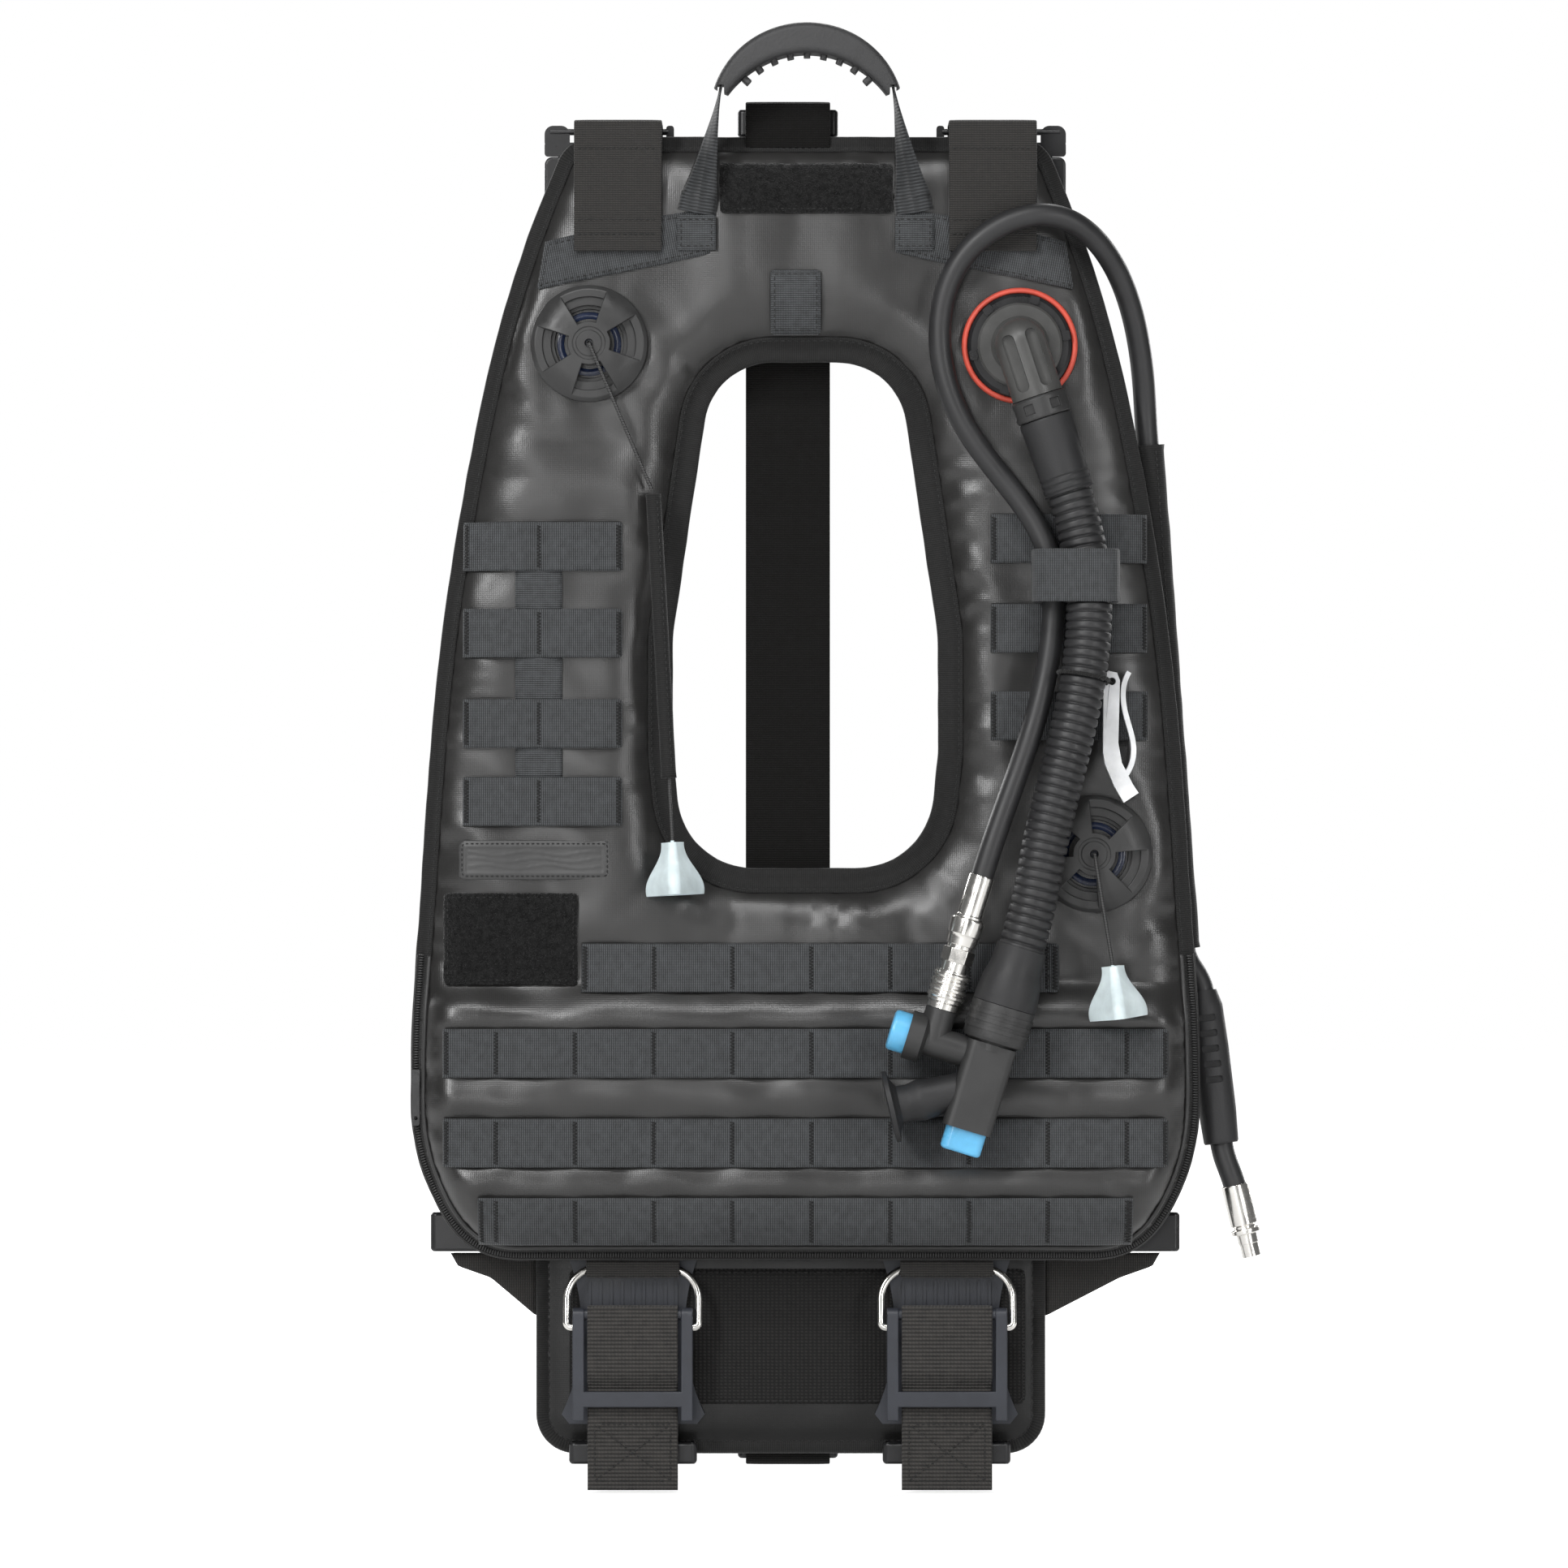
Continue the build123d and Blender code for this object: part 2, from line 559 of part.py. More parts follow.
bail_tilt = atan2(lever_pivot_depth - bail_axis_depth, bail_axis_z - lever_pivot_z)
bail_height = hypot(lever_pivot_depth - bail_axis_depth, bail_axis_z - lever_pivot_z)
bail_half, bail_corner, pin_bend = 34.0, 16.0, 2.5
for side, centre in zip(("left", "right"), cinch_centres):
    # The bail is bent from one wire: pins turned inwards, straight arms and a wide rounded top.
    bail_plane = Plane(
        origin=at(centre, lever_pivot_depth, lever_pivot_z),
        x_dir=(1, 0, 0),
        z_dir=(0, -cos(bail_tilt), sin(bail_tilt)),
    )
    with BuildPart() as bail:
        with BuildLine(bail_plane) as wire:
            Line((rail_inner + 1, 0), (bail_half - pin_bend, 0))
            CenterArc((bail_half - pin_bend, pin_bend), pin_bend, -90, 90)
            Line((bail_half, pin_bend), (bail_half, bail_height - bail_corner))
            CenterArc((bail_half - bail_corner, bail_height - bail_corner), bail_corner, 0, 90)
            Line((bail_half - bail_corner, bail_height), (0, bail_height))
            mirror(about=Plane(origin=bail_plane.origin, z_dir=(1, 0, 0)))
        with BuildSketch(Plane(origin=wire.line @ 0, z_dir=wire.line % 0)):
            Circle(wire_radius)
        sweep(path=wire.line)
    bail.part.label = f"bail_{side}"
    export_step(bail.part, f"parts/bail_{side}.step")

    with BuildPart() as lever:
        with BuildSketch(Plane.YZ.offset(centre - rail_outer)):
            with BuildLine():
                Line((-lever_near, 36), (-lever_near, 90))
                TangentArc((-lever_near, 90), (-lever_far, 90), tangent=(0, 1))
                Line((-lever_far, 90), (-lever_far, 52))
                Line((-lever_far, 52), (-lever_far - 4, 36))
                Line((-lever_far - 4, 36), (-lever_near, 36))
            make_face()
        extrude(amount=2 * rail_outer)
        with BuildSketch(front(lever_near)):
            add(box_sketch(centre - rail_inner, centre + rail_inner, 51, 110))
            add(box_sketch(centre - rail_inner, centre + rail_inner, 20, 43))
        extrude(amount=-20, mode=Mode.SUBTRACT)
        with BuildSketch(front(1.9)):
            add(box_sketch(centre - rail_inner, centre + rail_inner, 40, 60))
        extrude(amount=-10, mode=Mode.SUBTRACT)
        with BuildSketch(Plane.YZ.offset(centre - rail_outer)):
            with Locations((-lever_pivot_depth, lever_pivot_z)):
                Circle(wire_radius + 0.08)
        extrude(amount=2 * rail_outer, mode=Mode.SUBTRACT)
        with BuildSketch(Plane.YZ.offset(centre - rail_inner - 1)):
            with Locations((-lever_pivot_depth, roller_z)):
                Circle(2.9)
        extrude(amount=2 * rail_inner + 2)
    lever.part.label = f"lever_{side}"
    export_step(lever.part, f"parts/lever_{side}.step")

    with BuildPart() as lever_strap:
        with BuildSketch(Plane.YZ.offset(centre - strap_half)):
            add(thick_line([
                (-1.0, 0), (-1.0, 53), (-6.1, 61), (-6.1, roller_z + 4.1), (2.1, roller_z + 4.1),
                (2.1, 32),
            ], webbing))
        extrude(amount=2 * strap_half)
    lever_strap.part.label = f"lever_strap_{side}"
    export_step(lever_strap.part, f"parts/lever_strap_{side}.step")

# ---- carry handle: moulded grip on two twisted webbing legs ----
grip_centre_x, grip_centre_z, grip_radius = 0.8, 696.6, 49.4
grip_reach = 63           # degrees to either side of the top
leg_depth = foot_depth + 0.75
grip_lean = 4.0           # the grip stands this much further forward than the hinge
grip_depth = leg_depth + grip_lean
grip_sections = 7
with BuildPart() as handle_grip:
    for step in range(grip_sections):
        turn = grip_reach * (2 * step / (grip_sections - 1) - 1)
        fullness = 1 - abs(turn / grip_reach) ** 2.2
        radial = Vector(sin(radians(turn)), 0, cos(radians(turn)))
        centre = at(grip_centre_x, grip_depth, grip_centre_z) + radial * grip_radius
        along = Vector(cos(radians(turn)), 0, -sin(radians(turn)))
        with BuildSketch(Plane(origin=centre, x_dir=(0, 1, 0), z_dir=along)):
            RectangleRounded(17 + 9 * fullness, 8 + 7.5 * fullness, 3.6)
    loft()
    for nub in range(-4, 5):
        turn = nub * 12
        inward = Vector(-sin(radians(turn)), 0, -cos(radians(turn)))
        start = at(grip_centre_x, grip_depth, grip_centre_z) - inward * (grip_radius - 6)
        with BuildSketch(Plane(origin=start, x_dir=(0, 1, 0), z_dir=inward)):
            RectangleRounded(12, 3.4, 1.5)
        extrude(amount=3.6)
    with BuildSketch(front(grip_depth + 12)):
        for end in (-1, 1):
            add(box_sketch(grip_centre_x + end * 44.2 - 1.7, grip_centre_x + end * 44.2 + 1.7,
                           700, 722))
    extrude(amount=-24, mode=Mode.SUBTRACT)
handle_grip.part.label = "handle_grip"
export_step(handle_grip.part, "parts/handle_grip.step")

# Each leg rises flat against the vest and twists a quarter turn once it clears the top edge.
leg_steps = ((0, 0, 20), (0.5, 0, 20), (0.64, 18, 17), (0.76, 42, 16), (0.88, 68, 16), (1, 90, 16))
with BuildPart() as handle_webbing:
    for end in (-1, 1):
        for rise, twist, leg_width in leg_steps:
            leg_x = end * 56 + (grip_centre_x + end * 44.2 - end * 56) * rise
            leg_z = handle_hinge_z + 0.2 + (721 - handle_hinge_z) * rise
            leg_plane = Plane(
                origin=at(leg_x, leg_depth + grip_lean * rise, leg_z),
                x_dir=(cos(radians(twist)), sin(radians(twist)), 0),
                z_dir=(0, 0, 1),
            )
            with BuildSketch(leg_plane):
                Rectangle(leg_width, 1.5)
        loft(ruled=True)
handle_webbing.part.label = "handle_webbing"
export_step(handle_webbing.part, "parts/handle_webbing.step")

# ---- solids of revolution about any axis ----
def turned(origin, direction, profile):
    """Turn a profile of (radius, distance along the axis) points about an axis."""
    axis_direction = Vector(*direction).normalized()
    across = Vector(0, -1, 0) if abs(axis_direction.Y) < 0.9 else Vector(1, 0, 0)
    across = (across - axis_direction * across.dot(axis_direction)).normalized()
    profile_plane = Plane(origin=origin, x_dir=across, z_dir=across.cross(axis_direction))
    with BuildPart() as part:
        with BuildSketch(profile_plane):
            with BuildLine():
                Polyline(*profile, close=True)
            make_face()
        revolve(axis=Axis(origin, axis_direction))
    return part.part


def face_plane(centre, depth):
    """Front-facing plane whose origin lies on a valve's axis."""
    return Plane(origin=at(centre[0], depth, centre[1]), x_dir=(1, 0, 0), z_dir=(0, -1, 0))


def sectors(inner, outer, spread, turn):
    """Four ring sectors, spread degrees wide each, the first one centred at turn degrees."""
    far = 2 * outer
    half_width = far * sin(radians(spread / 2)) / cos(radians(spread / 2))
    with BuildSketch() as sketch:
        with PolarLocations(0, 4, start_angle=turn):
            Polygon((0, 0), (far, -half_width), (far, half_width), align=None)
        Circle(outer, mode=Mode.INTERSECT)
        Circle(inner, mode=Mode.SUBTRACT)
    return sketch.sketch


# ---- dump valves: threaded base, spoked cover, sealing disc on a stem and its spring ----
toward_front = (0, -1, 0)
base_top = half_depth + 2.0
cover_base = base_top + 0.1
cover_top = half_depth + 10.5
hub_radius, window_radius = 11.0, 18.0
cord_hole = 2.0
window_turn = {"upper": 6.5, "lower": -20.0}
neck_profile = [
    (17.6, 5), (neck_radius, 5), (neck_radius, 14.6), (27, 14.6), (27, 15.3),
    (neck_radius, 15.3), (neck_radius, half_depth + seam_gap),
]

with BuildPart() as dump_valve_bases:
    for centre_x, centre_z in dump_centres.values():
        rim = [(29, half_depth + seam_gap), (29, base_top), (17.6, base_top)]
        add(turned(at(centre_x, 0, centre_z), toward_front, neck_profile + rim))
dump_valve_bases.part.label = "dump_valve_bases"
export_step(dump_valve_bases.part, "parts/dump_valve_bases.step")

with BuildPart() as dump_valve_covers:
    for name, (centre_x, centre_z) in dump_centres.items():
        add(turned(at(centre_x, 0, centre_z), toward_front, [
            (19.5, cover_base), (30, cover_base), (30, 20.8), (26.5, 23.8), (21, 26.5),
            (13, cover_top), (cord_hole, cover_top), (cord_hole, 24.8), (16.5, 24.8),
            (19.5, 22.6),
        ]))
        centre = (centre_x, centre_z)
        turn = window_turn[name]
        with BuildSketch(face_plane(centre, cover_base - 1)):
            add(sectors(hub_radius, window_radius, 50, turn))
        extrude(amount=12, mode=Mode.SUBTRACT)
        with BuildSketch(face_plane(centre, 22.6)):
            add(sectors(window_radius - 0.5, valve_radius + 1, 50, turn))
        extrude(amount=8, mode=Mode.SUBTRACT)
        with BuildSketch(face_plane(centre, 21.0)):
            add(sectors(window_radius - 0.5, 24, 50, turn))
        extrude(amount=8, mode=Mode.SUBTRACT)
        with BuildSketch(face_plane(centre, cover_top)):
            Circle(8.4)
            Circle(6.6, mode=Mode.SUBTRACT)
        extrude(amount=-0.6, mode=Mode.SUBTRACT)
dump_valve_covers.part.label = "dump_valve_covers"
export_step(dump_valve_covers.part, "parts/dump_valve_covers.step")

stem_top = 21.6
disc_profile = [
    (0, 13.8), (16.8, 13.8), (17, 15.4), (16.4, 16.6), (15, 17), (13, 16.6), (12, 15.4),
    (2.5, 15.4), (2.5, stem_top), (0, stem_top),
]
cord_out = cover_top + 2.4
pull_start = {
    "upper": at(dump_centres["upper"][0], cord_out, dump_centres["upper"][1]),
    "lower": at(dump_centres["lower"][0], cord_out + 1.2, dump_centres["lower"][1]),
}
for name, (centre_x, centre_z) in dump_centres.items():
    with BuildPart() as dump_disc:
        add(turned(at(centre_x, 0, centre_z), toward_front, disc_profile))
        with BuildLine() as cord:
            stem_end = at(centre_x, stem_top - 1, centre_z)
            if name == "upper":
                run_end = sleeve_top - cord_direction * 0.5
                run_end = pull_start[name] + (run_end - pull_start[name]) * 0.97
                Polyline(stem_end, pull_start[name], run_end)
            else:
                Line(stem_end, at(centre_x, cord_out - 0.9, centre_z))
        with BuildSketch(Plane(origin=cord.line @ 0, z_dir=cord.line % 0)):
            Circle(cord_radius)
        sweep(path=cord.line, transition=Transition.ROUND)
    dump_disc.part.label = f"dump_disc_{name}"
    export_step(dump_disc.part, f"parts/dump_disc_{name}.step")

# ---- pull toggles: hollow bells with three lobes on the ends of the cords ----
toggle_height = 27.0
toggle_levels = [(0.0, 9.0, 2.6), (0.35, 12.5, 3.4), (0.75, 20.0, 4.0), (1.0, 20.5, 4.0)]
toggle_wall = 2.2


def bell(origin, direction, wall):
    """Three-lobed bell that opens along direction; wall shrinks it evenly."""
    with BuildPart() as part:
        for share, reach, corner in toggle_levels:
            level = Vector(origin) + direction * (share * toggle_height)
            with BuildSketch(Plane(origin=level, x_dir=(0, -1, 0), z_dir=direction)) as section:
                RegularPolygon(reach - 2 * wall, 3)
                fillet(section.vertices(), corner - 0.6 * wall)
        loft()
    return part.part


lower_toggle_top = at(157, 39.6, 271)
upper_toggle_top = sleeve_low + cord_direction * 33
toggles = {
    "upper": (sleeve_low - cord_direction * 20, upper_toggle_top, cord_direction),
    "lower": (pull_start["lower"], lower_toggle_top, Vector(0.12, 0, -0.993).normalized()),
}
for name, (cord_start, top, hang) in toggles.items():
    with BuildPart() as pull_toggle:
        add(bell(top, hang, 0))
        add(bell(top + hang * toggle_wall, hang, toggle_wall / 2), mode=Mode.SUBTRACT)
        cord_run = top + hang * 1.2 - cord_start
        with BuildSketch(Plane(origin=cord_start, z_dir=cord_run.normalized())):
            Circle(cord_radius)
        extrude(amount=cord_run.length)
    pull_toggle.part.label = f"pull_toggle_{name}"
    export_step(pull_toggle.part, f"parts/pull_toggle_{name}.step")

# ---- elbow valve on the other shoulder ----
elbow_depth = 36.0
elbow_tilt = radians(18.2)
hose_down = Vector(sin(elbow_tilt), 0, -cos(elbow_tilt))
elbow_origin = at(elbow_centre[0], elbow_depth, elbow_centre[1])
elbow_foot = at(elbow_centre[0], 0, elbow_centre[1])
tube_radius, tube_end = 13.2, 28.0
with BuildPart() as elbow_flange:
    rim = [(26.6, half_depth + seam_gap), (26.6, 20.6), (25, 21.8), (17.6, 21.8)]
    add(turned(elbow_foot, toward_front, neck_profile + rim))
    with BuildSketch(face_plane(elbow_centre, 20)):
        with PolarLocations(24.3, 6, start_angle=12):
            RectangleRounded(4, 5, 1)
    extrude(amount=3.2)
elbow_flange.part.label = "elbow_flange"
export_step(elbow_flange.part, "parts/elbow_flange.step")

with BuildPart() as elbow_gasket:
    add(turned(elbow_foot, toward_front, [
        (26.8, half_depth + seam_gap), (29.6, half_depth + seam_gap), (29.8, 18.6), (29.2, 19.9),
        (28.2, 20.4), (27.2, 19.9), (26.8, 18.6),
    ]))
elbow_gasket.part.label = "elbow_gasket"
export_step(elbow_gasket.part, "parts/elbow_gasket.step")

with BuildPart() as elbow_body:
    add(turned(elbow_foot, toward_front, [
        (0, 21.9), (21.7, 21.9), (21.7, 24.4), (20.6, 25.4), (15, 25.4), (13.2, 28),
        (13.2, elbow_depth), (0, elbow_depth),
    ]))
    add(turned(elbow_origin, hose_down, [(0, 0), (tube_radius, 0), (tube_radius, tube_end),
                                         (0, tube_end)]))
    with BuildSketch(Plane(origin=elbow_foot, x_dir=(1, 0, 0), z_dir=(0, -1, 0))):
        Circle(60)
        Circle(21.7, mode=Mode.SUBTRACT)
    extrude(amount=23.6, mode=Mode.SUBTRACT)
    with Locations(elbow_origin):
        Sphere(tube_radius)
    grip_plane = Plane(origin=elbow_origin + Vector(0, -tube_radius - 1, 0),
                       x_dir=(cos(elbow_tilt), 0, sin(elbow_tilt)), z_dir=(0, -1, 0))
    with BuildSketch(grip_plane):
        for groove in (-1, 1):
            add(box_sketch(min(groove * 3, groove * 9.2), max(groove * 3, groove * 9.2),
                           -24.5, 6, 3))
    extrude(amount=-7.2, mode=Mode.SUBTRACT)
    add(turned(elbow_origin, hose_down, [(0, tube_end - 1), (9, tube_end - 1), (9, 46), (0, 46)]))
    add(turned(elbow_origin, hose_down, [(0, -2), (6.6, -2), (6.6, 46), (0, 46)]),
        mode=Mode.SUBTRACT)
    with BuildSketch(face_plane(elbow_centre, 21)):
        Circle(8)
    extrude(amount=elbow_depth - 21, mode=Mode.SUBTRACT)
elbow_body.part.label = "elbow_body"
export_step(elbow_body.part, "parts/elbow_body.step")

with BuildPart() as elbow_collar:
    add(turned(elbow_origin, hose_down, [
        (9.05, 28.3), (13.6, 28.3), (14.4, 29.4), (14.4, 38.6), (13.8, 39.7), (9.05, 39.7),
    ]))
    collar_centre = elbow_origin + hose_down * 34
    with Locations(Plane(origin=collar_centre, x_dir=(0, -1, 0), z_dir=hose_down)):
        with PolarLocations(14.4, 6, start_angle=30):
            Box(2.4, 5.6, 5, mode=Mode.SUBTRACT)
elbow_collar.part.label = "elbow_collar"
export_step(elbow_collar.part, "parts/elbow_collar.step")

# ---- inflator: its axis runs down and inwards; sideways places are measured from that axis ----
inflator_tilt = radians(17)
inflator_top = at(108.75, 50, 275.8)
inflator_down = Vector(-sin(inflator_tilt), 0, -cos(inflator_tilt))
inflator_side = Vector(-cos(inflator_tilt), 0, sin(inflator_tilt))
inlet_offset = 30.0


def inflator_point(sideways, down):
    return inflator_top + inflator_side * sideways + inflator_down * down


def across_inflator(down):
    """Plane square to the inflator's axis, its x axis pointing to the inlet's side."""
    return Plane(origin=inflator_point(0, down), x_dir=inflator_side, z_dir=inflator_down)


hose_outer, hose_inner = 11.7, 9.6
cuff_insert, boot_insert = 8.0, 69.0
groove_lines = (70.5, 74, 77.5)
boot_profile = [(8, 40), (13.4, 40), (13.8, 41.5), (12.9, 69.5)]
for groove in groove_lines:
    boot_profile += [(12.9, groove), (12.4, groove + 0.4), (12.4, groove + 1), (12.9, groove + 1.4)]
boot_profile += [(12.9, 79.5), (12, 79.5), (12, 66.5), (8, 66.5)]
with BuildPart() as hose_cuffs:
    add(turned(elbow_origin, hose_down, [(9.05, 40), *boot_profile[1:-1], (9.05, 66.5)]))
    add(turned(inflator_top, inflator_down, [
        (12, -5), (13, -5), (13.6, 6), (15.2, 12), (16.2, 20), (16.4, 26), (9.55, 26),
        (9.55, 10), (12, 10),
    ]))
hose_cuffs.part.label = "hose_cuffs"
export_step(hose_cuffs.part, "parts/hose_cuffs.step")

with BuildPart() as corrugated_hose:
    with BuildLine() as hose_path:
        Spline(
            elbow_origin + hose_down * boot_insert, at(143.5, 39, 475.8), at(144.8, 41.5, 450),
            at(138.3, 46, 400.8), at(122.2, 49, 334), inflator_point(0, cuff_insert),
            tangents=[hose_down, inflator_down],
        )
    with BuildSketch(Plane(origin=hose_path.line @ 0, z_dir=hose_path.line % 0)):
        Circle(hose_outer)
        Circle(hose_inner, mode=Mode.SUBTRACT)
    sweep(path=hose_path.line)
corrugated_hose.part.label = "corrugated_hose"
export_step(corrugated_hose.part, "parts/corrugated_hose.step")

button_travel = 4.0
tube_high, tube_low = 46.6, 92.0    # square part of the inflator's tube, measured down its axis
tube_width, tube_thick, tube_corner = 25.5, 22.0, 5.0
button_low = 104.0
valve_down = 54.0         # where the inflate valve crosses
mouth_start = inflator_point(5, 71.8)
mouth_direction = (inflator_side * cos(radians(30)) + inflator_down * sin(radians(30)))
inflate_axis = inflator_point(0, valve_down)
inlet_axis = inflator_point(inlet_offset, 0)
with BuildPart() as inflator_body:
    add(turned(inflator_top, inflator_down, [
        (0, 12), (9.5, 12), (9.5, 26.1), (16.4, 26.1), (16.4, 43), (15.4, 45), (11.5, 46.5),
        (11.5, 50), (0, 50),
    ]))
    for ring_start in (30, 34, 38):
        add(turned(inflator_top, inflator_down, [
            (16, ring_start), (16.9, ring_start), (16.9, ring_start + 2), (16, ring_start + 2),
        ]))
    with BuildSketch(across_inflator(tube_high)):
        RectangleRounded(tube_width, tube_thick, tube_corner)
    extrude(amount=tube_low - tube_high)
    add(turned(inflate_axis, inflator_side, [
        (0, 8), (8, 8), (8, 33), (12.5, 35), (12.5, 43), (0, 43),
    ]))
    add(turned(inlet_axis, inflator_down, [(0, 37), (8, 37), (8, valve_down), (0, valve_down)]))
    # Passages: the air way, the inlet, the two button wells and the way to the mouthpiece.
    add(turned(inflator_top, inflator_down, [(0, 11), (7.2, 11), (7.2, 83), (0, 83)]),
        mode=Mode.SUBTRACT)
    add(turned(inlet_axis, inflator_down, [(0, 36), (4.6, 36), (4.6, 46), (2, 46), (2, 54),
                                           (0, 54)]), mode=Mode.SUBTRACT)
    add(turned(inflate_axis, inflator_side, [
        (0, 6), (3, 6), (3, 28), (7, 28), (7, 36), (10.56, 36), (10.56, 44), (0, 44),
    ]), mode=Mode.SUBTRACT)
    add(turned(mouth_start, mouth_direction, [(0, 3), (5.6, 3), (5.6, 25), (0, 25)]),
        mode=Mode.SUBTRACT)
    with BuildSketch(across_inflator(tube_low - 10)):
        RectangleRounded(21.1, 16.1, 4.05)
    extrude(amount=11, mode=Mode.SUBTRACT)
inflator_body.part.label = "inflator_body"
export_step(inflator_body.part, "parts/inflator_body.step")

with BuildPart() as mouthpiece:
    add(turned(mouth_start, mouth_direction, [
        (5.6, 4), (9.4, 4), (9.8, 16), (10.8, 25), (9.4, 31), (9.8, 36), (14, 38.4),
        (18.5, 39.2), (18.5, 41.5), (12, 42), (8, 41), (5.6, 36),
    ]))
    with BuildSketch(across_inflator(tube_high)):
        RectangleRounded(tube_width + 0.1, tube_thick + 0.1, tube_corner + 0.05)
    extrude(amount=tube_low - tube_high + 1, mode=Mode.SUBTRACT)
mouthpiece.part.label = "mouthpiece"
export_step(mouthpiece.part, "parts/mouthpiece.step")

with BuildPart() as deflate_button:
    with BuildSketch(across_inflator(tube_low - 10 + button_travel + 0.2)):
        RectangleRounded(21, 16, 4)
    extrude(amount=button_low - tube_low + 10 - button_travel - 0.2)
    fillet(deflate_button.faces().sort_by(Axis(inflator_top, inflator_down))[-1].edges(), 2)
deflate_button.part.label = "deflate_button"
export_step(deflate_button.part, "parts/deflate_button.step")

with BuildPart() as inflate_button:
    add(turned(inflate_axis, inflator_side, [
        (0, 36.2 + button_travel), (10.5, 36.2 + button_travel), (10.5, 50), (9.9, 51.4),
        (8.5, 52), (0, 52),
    ]))
inflate_button.part.label = "inflate_button"
export_step(inflate_button.part, "parts/inflate_button.step")

# Springs of both dump valves and both buttons, drawn as far as they are ever compressed.
spring_places = [
    # start, direction, height, radius, pitch
    (at(x, 18.4, z), Vector(*toward_front), 4.6, 6.0, 1.3) for x, z in dump_centres.values()
]
spring_places += [
    (inflate_axis + inflator_side * 29, inflator_side, 6.4, 5.4, 1.6),
    (inflator_point(0, 76), inflator_down, 5.6, 5.4, 1.6),
]
with BuildPart() as valve_springs:
    for start, direction, height, radius, pitch in spring_places:
        with BuildLine() as coil:
            Helix(pitch=pitch, height=height, radius=radius, center=start, direction=direction)
        with BuildSketch(Plane(origin=coil.line @ 0, z_dir=coil.line % 0)):
            Circle(0.4)
        sweep(path=coil.line, is_frenet=True)
valve_springs.part.label = "valve_springs"
export_step(valve_springs.part, "parts/valve_springs.step")

# ---- quick-release coupler between the low-pressure hose and the inflator ----
sleeve_radius = 6.9
collar_start, collar_end = 17.0, 33.0
with BuildPart() as coupler_body:
    add(turned(inlet_axis, inflator_down, [
        (2, -11), (8.4, -11), (8.8, -10), (8.8, -3), (8.2, -2), (7.6, 3), (sleeve_radius, 3),
        (sleeve_radius, 33.6), (8.2, 33.6), (8.2, 36.8), (4.5, 36.8), (4.5, 44), (2, 44),
    ]))
    with BuildSketch(Plane(origin=inflator_point(inlet_offset, 5), x_dir=inflator_side,
                           z_dir=inflator_down)):
        RegularPolygon(8.4, 6)
    extrude(amount=7)
    add(turned(inlet_axis, inflator_down, [(0, -12), (2, -12), (2, 45), (0, 45)]),
        mode=Mode.SUBTRACT)
coupler_body.part.label = "coupler_body"
export_step(coupler_body.part, "parts/coupler_body.step")

collar_profile = [(sleeve_radius + 0.06, collar_start), (8.8, collar_start)]
for rib in range(4):
    rib_start = collar_start + 1 + rib * 3.6
    collar_profile += [(8.8, rib_start), (9.7, rib_start + 0.5), (9.7, rib_start + 1.9),
                       (8.8, rib_start + 2.4)]
collar_profile += [(8.8, collar_end), (sleeve_radius + 0.06, collar_end)]
with BuildPart() as coupler_collar:
    add(turned(inlet_axis, inflator_down, collar_profile))
coupler_collar.part.label = "coupler_collar"
export_step(coupler_collar.part, "parts/coupler_collar.step")

# ---- low-pressure hose: coupler, loop over the shoulder, fabric sleeve, protector, fitting ----
lp_radius = 5.85
sleeve_in, sleeve_out = at(177.1, -15, 539.2), at(196, -21.5, 279)
sleeve_run = (sleeve_out - sleeve_in).normalized()
protector_in, protector_out = at(206, -20, 257), at(215.4, -17, 178)
protector_run = (protector_out - protector_in).normalized()
fitting_run = Vector(0.2335, 0, -0.9724)
stud_end = at(231, -15, 119.6)
ferrule_start = stud_end - fitting_run * 38
with BuildPart() as lp_hose:
    with BuildLine() as lp_path:
        Line(inflator_point(inlet_offset, -23), inflator_point(inlet_offset, -36))
        Spline(
            inflator_point(inlet_offset, -36), at(116, 39, 392.5), at(127.1, 30.5, 460),
            at(124.6, 29.5, 481), at(115.4, 27, 501), at(82.1, 25.5, 546.7), at(68.8, 25, 596.7),
            at(84.2, 27.5, 638.3), at(123.8, 27, 655.8), at(159.2, 8, 630),
            at(175.2, -12, 567.5), sleeve_in,
            tangents=[inflator_down * -1, sleeve_run],
        )
        Line(sleeve_in, sleeve_out)
        Spline(sleeve_out, protector_in, tangents=[sleeve_run, protector_run])
        Line(protector_in, protector_out)
        Spline(protector_out, ferrule_start, tangents=[protector_run, fitting_run])
        Line(ferrule_start, ferrule_start + fitting_run * 11)
    with BuildSketch(Plane(origin=lp_path.line @ 0, z_dir=lp_path.line % 0)):
        Circle(lp_radius)
        Circle(3, mode=Mode.SUBTRACT)
    sweep(path=lp_path.line)
lp_hose.part.label = "lp_hose"
export_step(lp_hose.part, "parts/lp_hose.step")

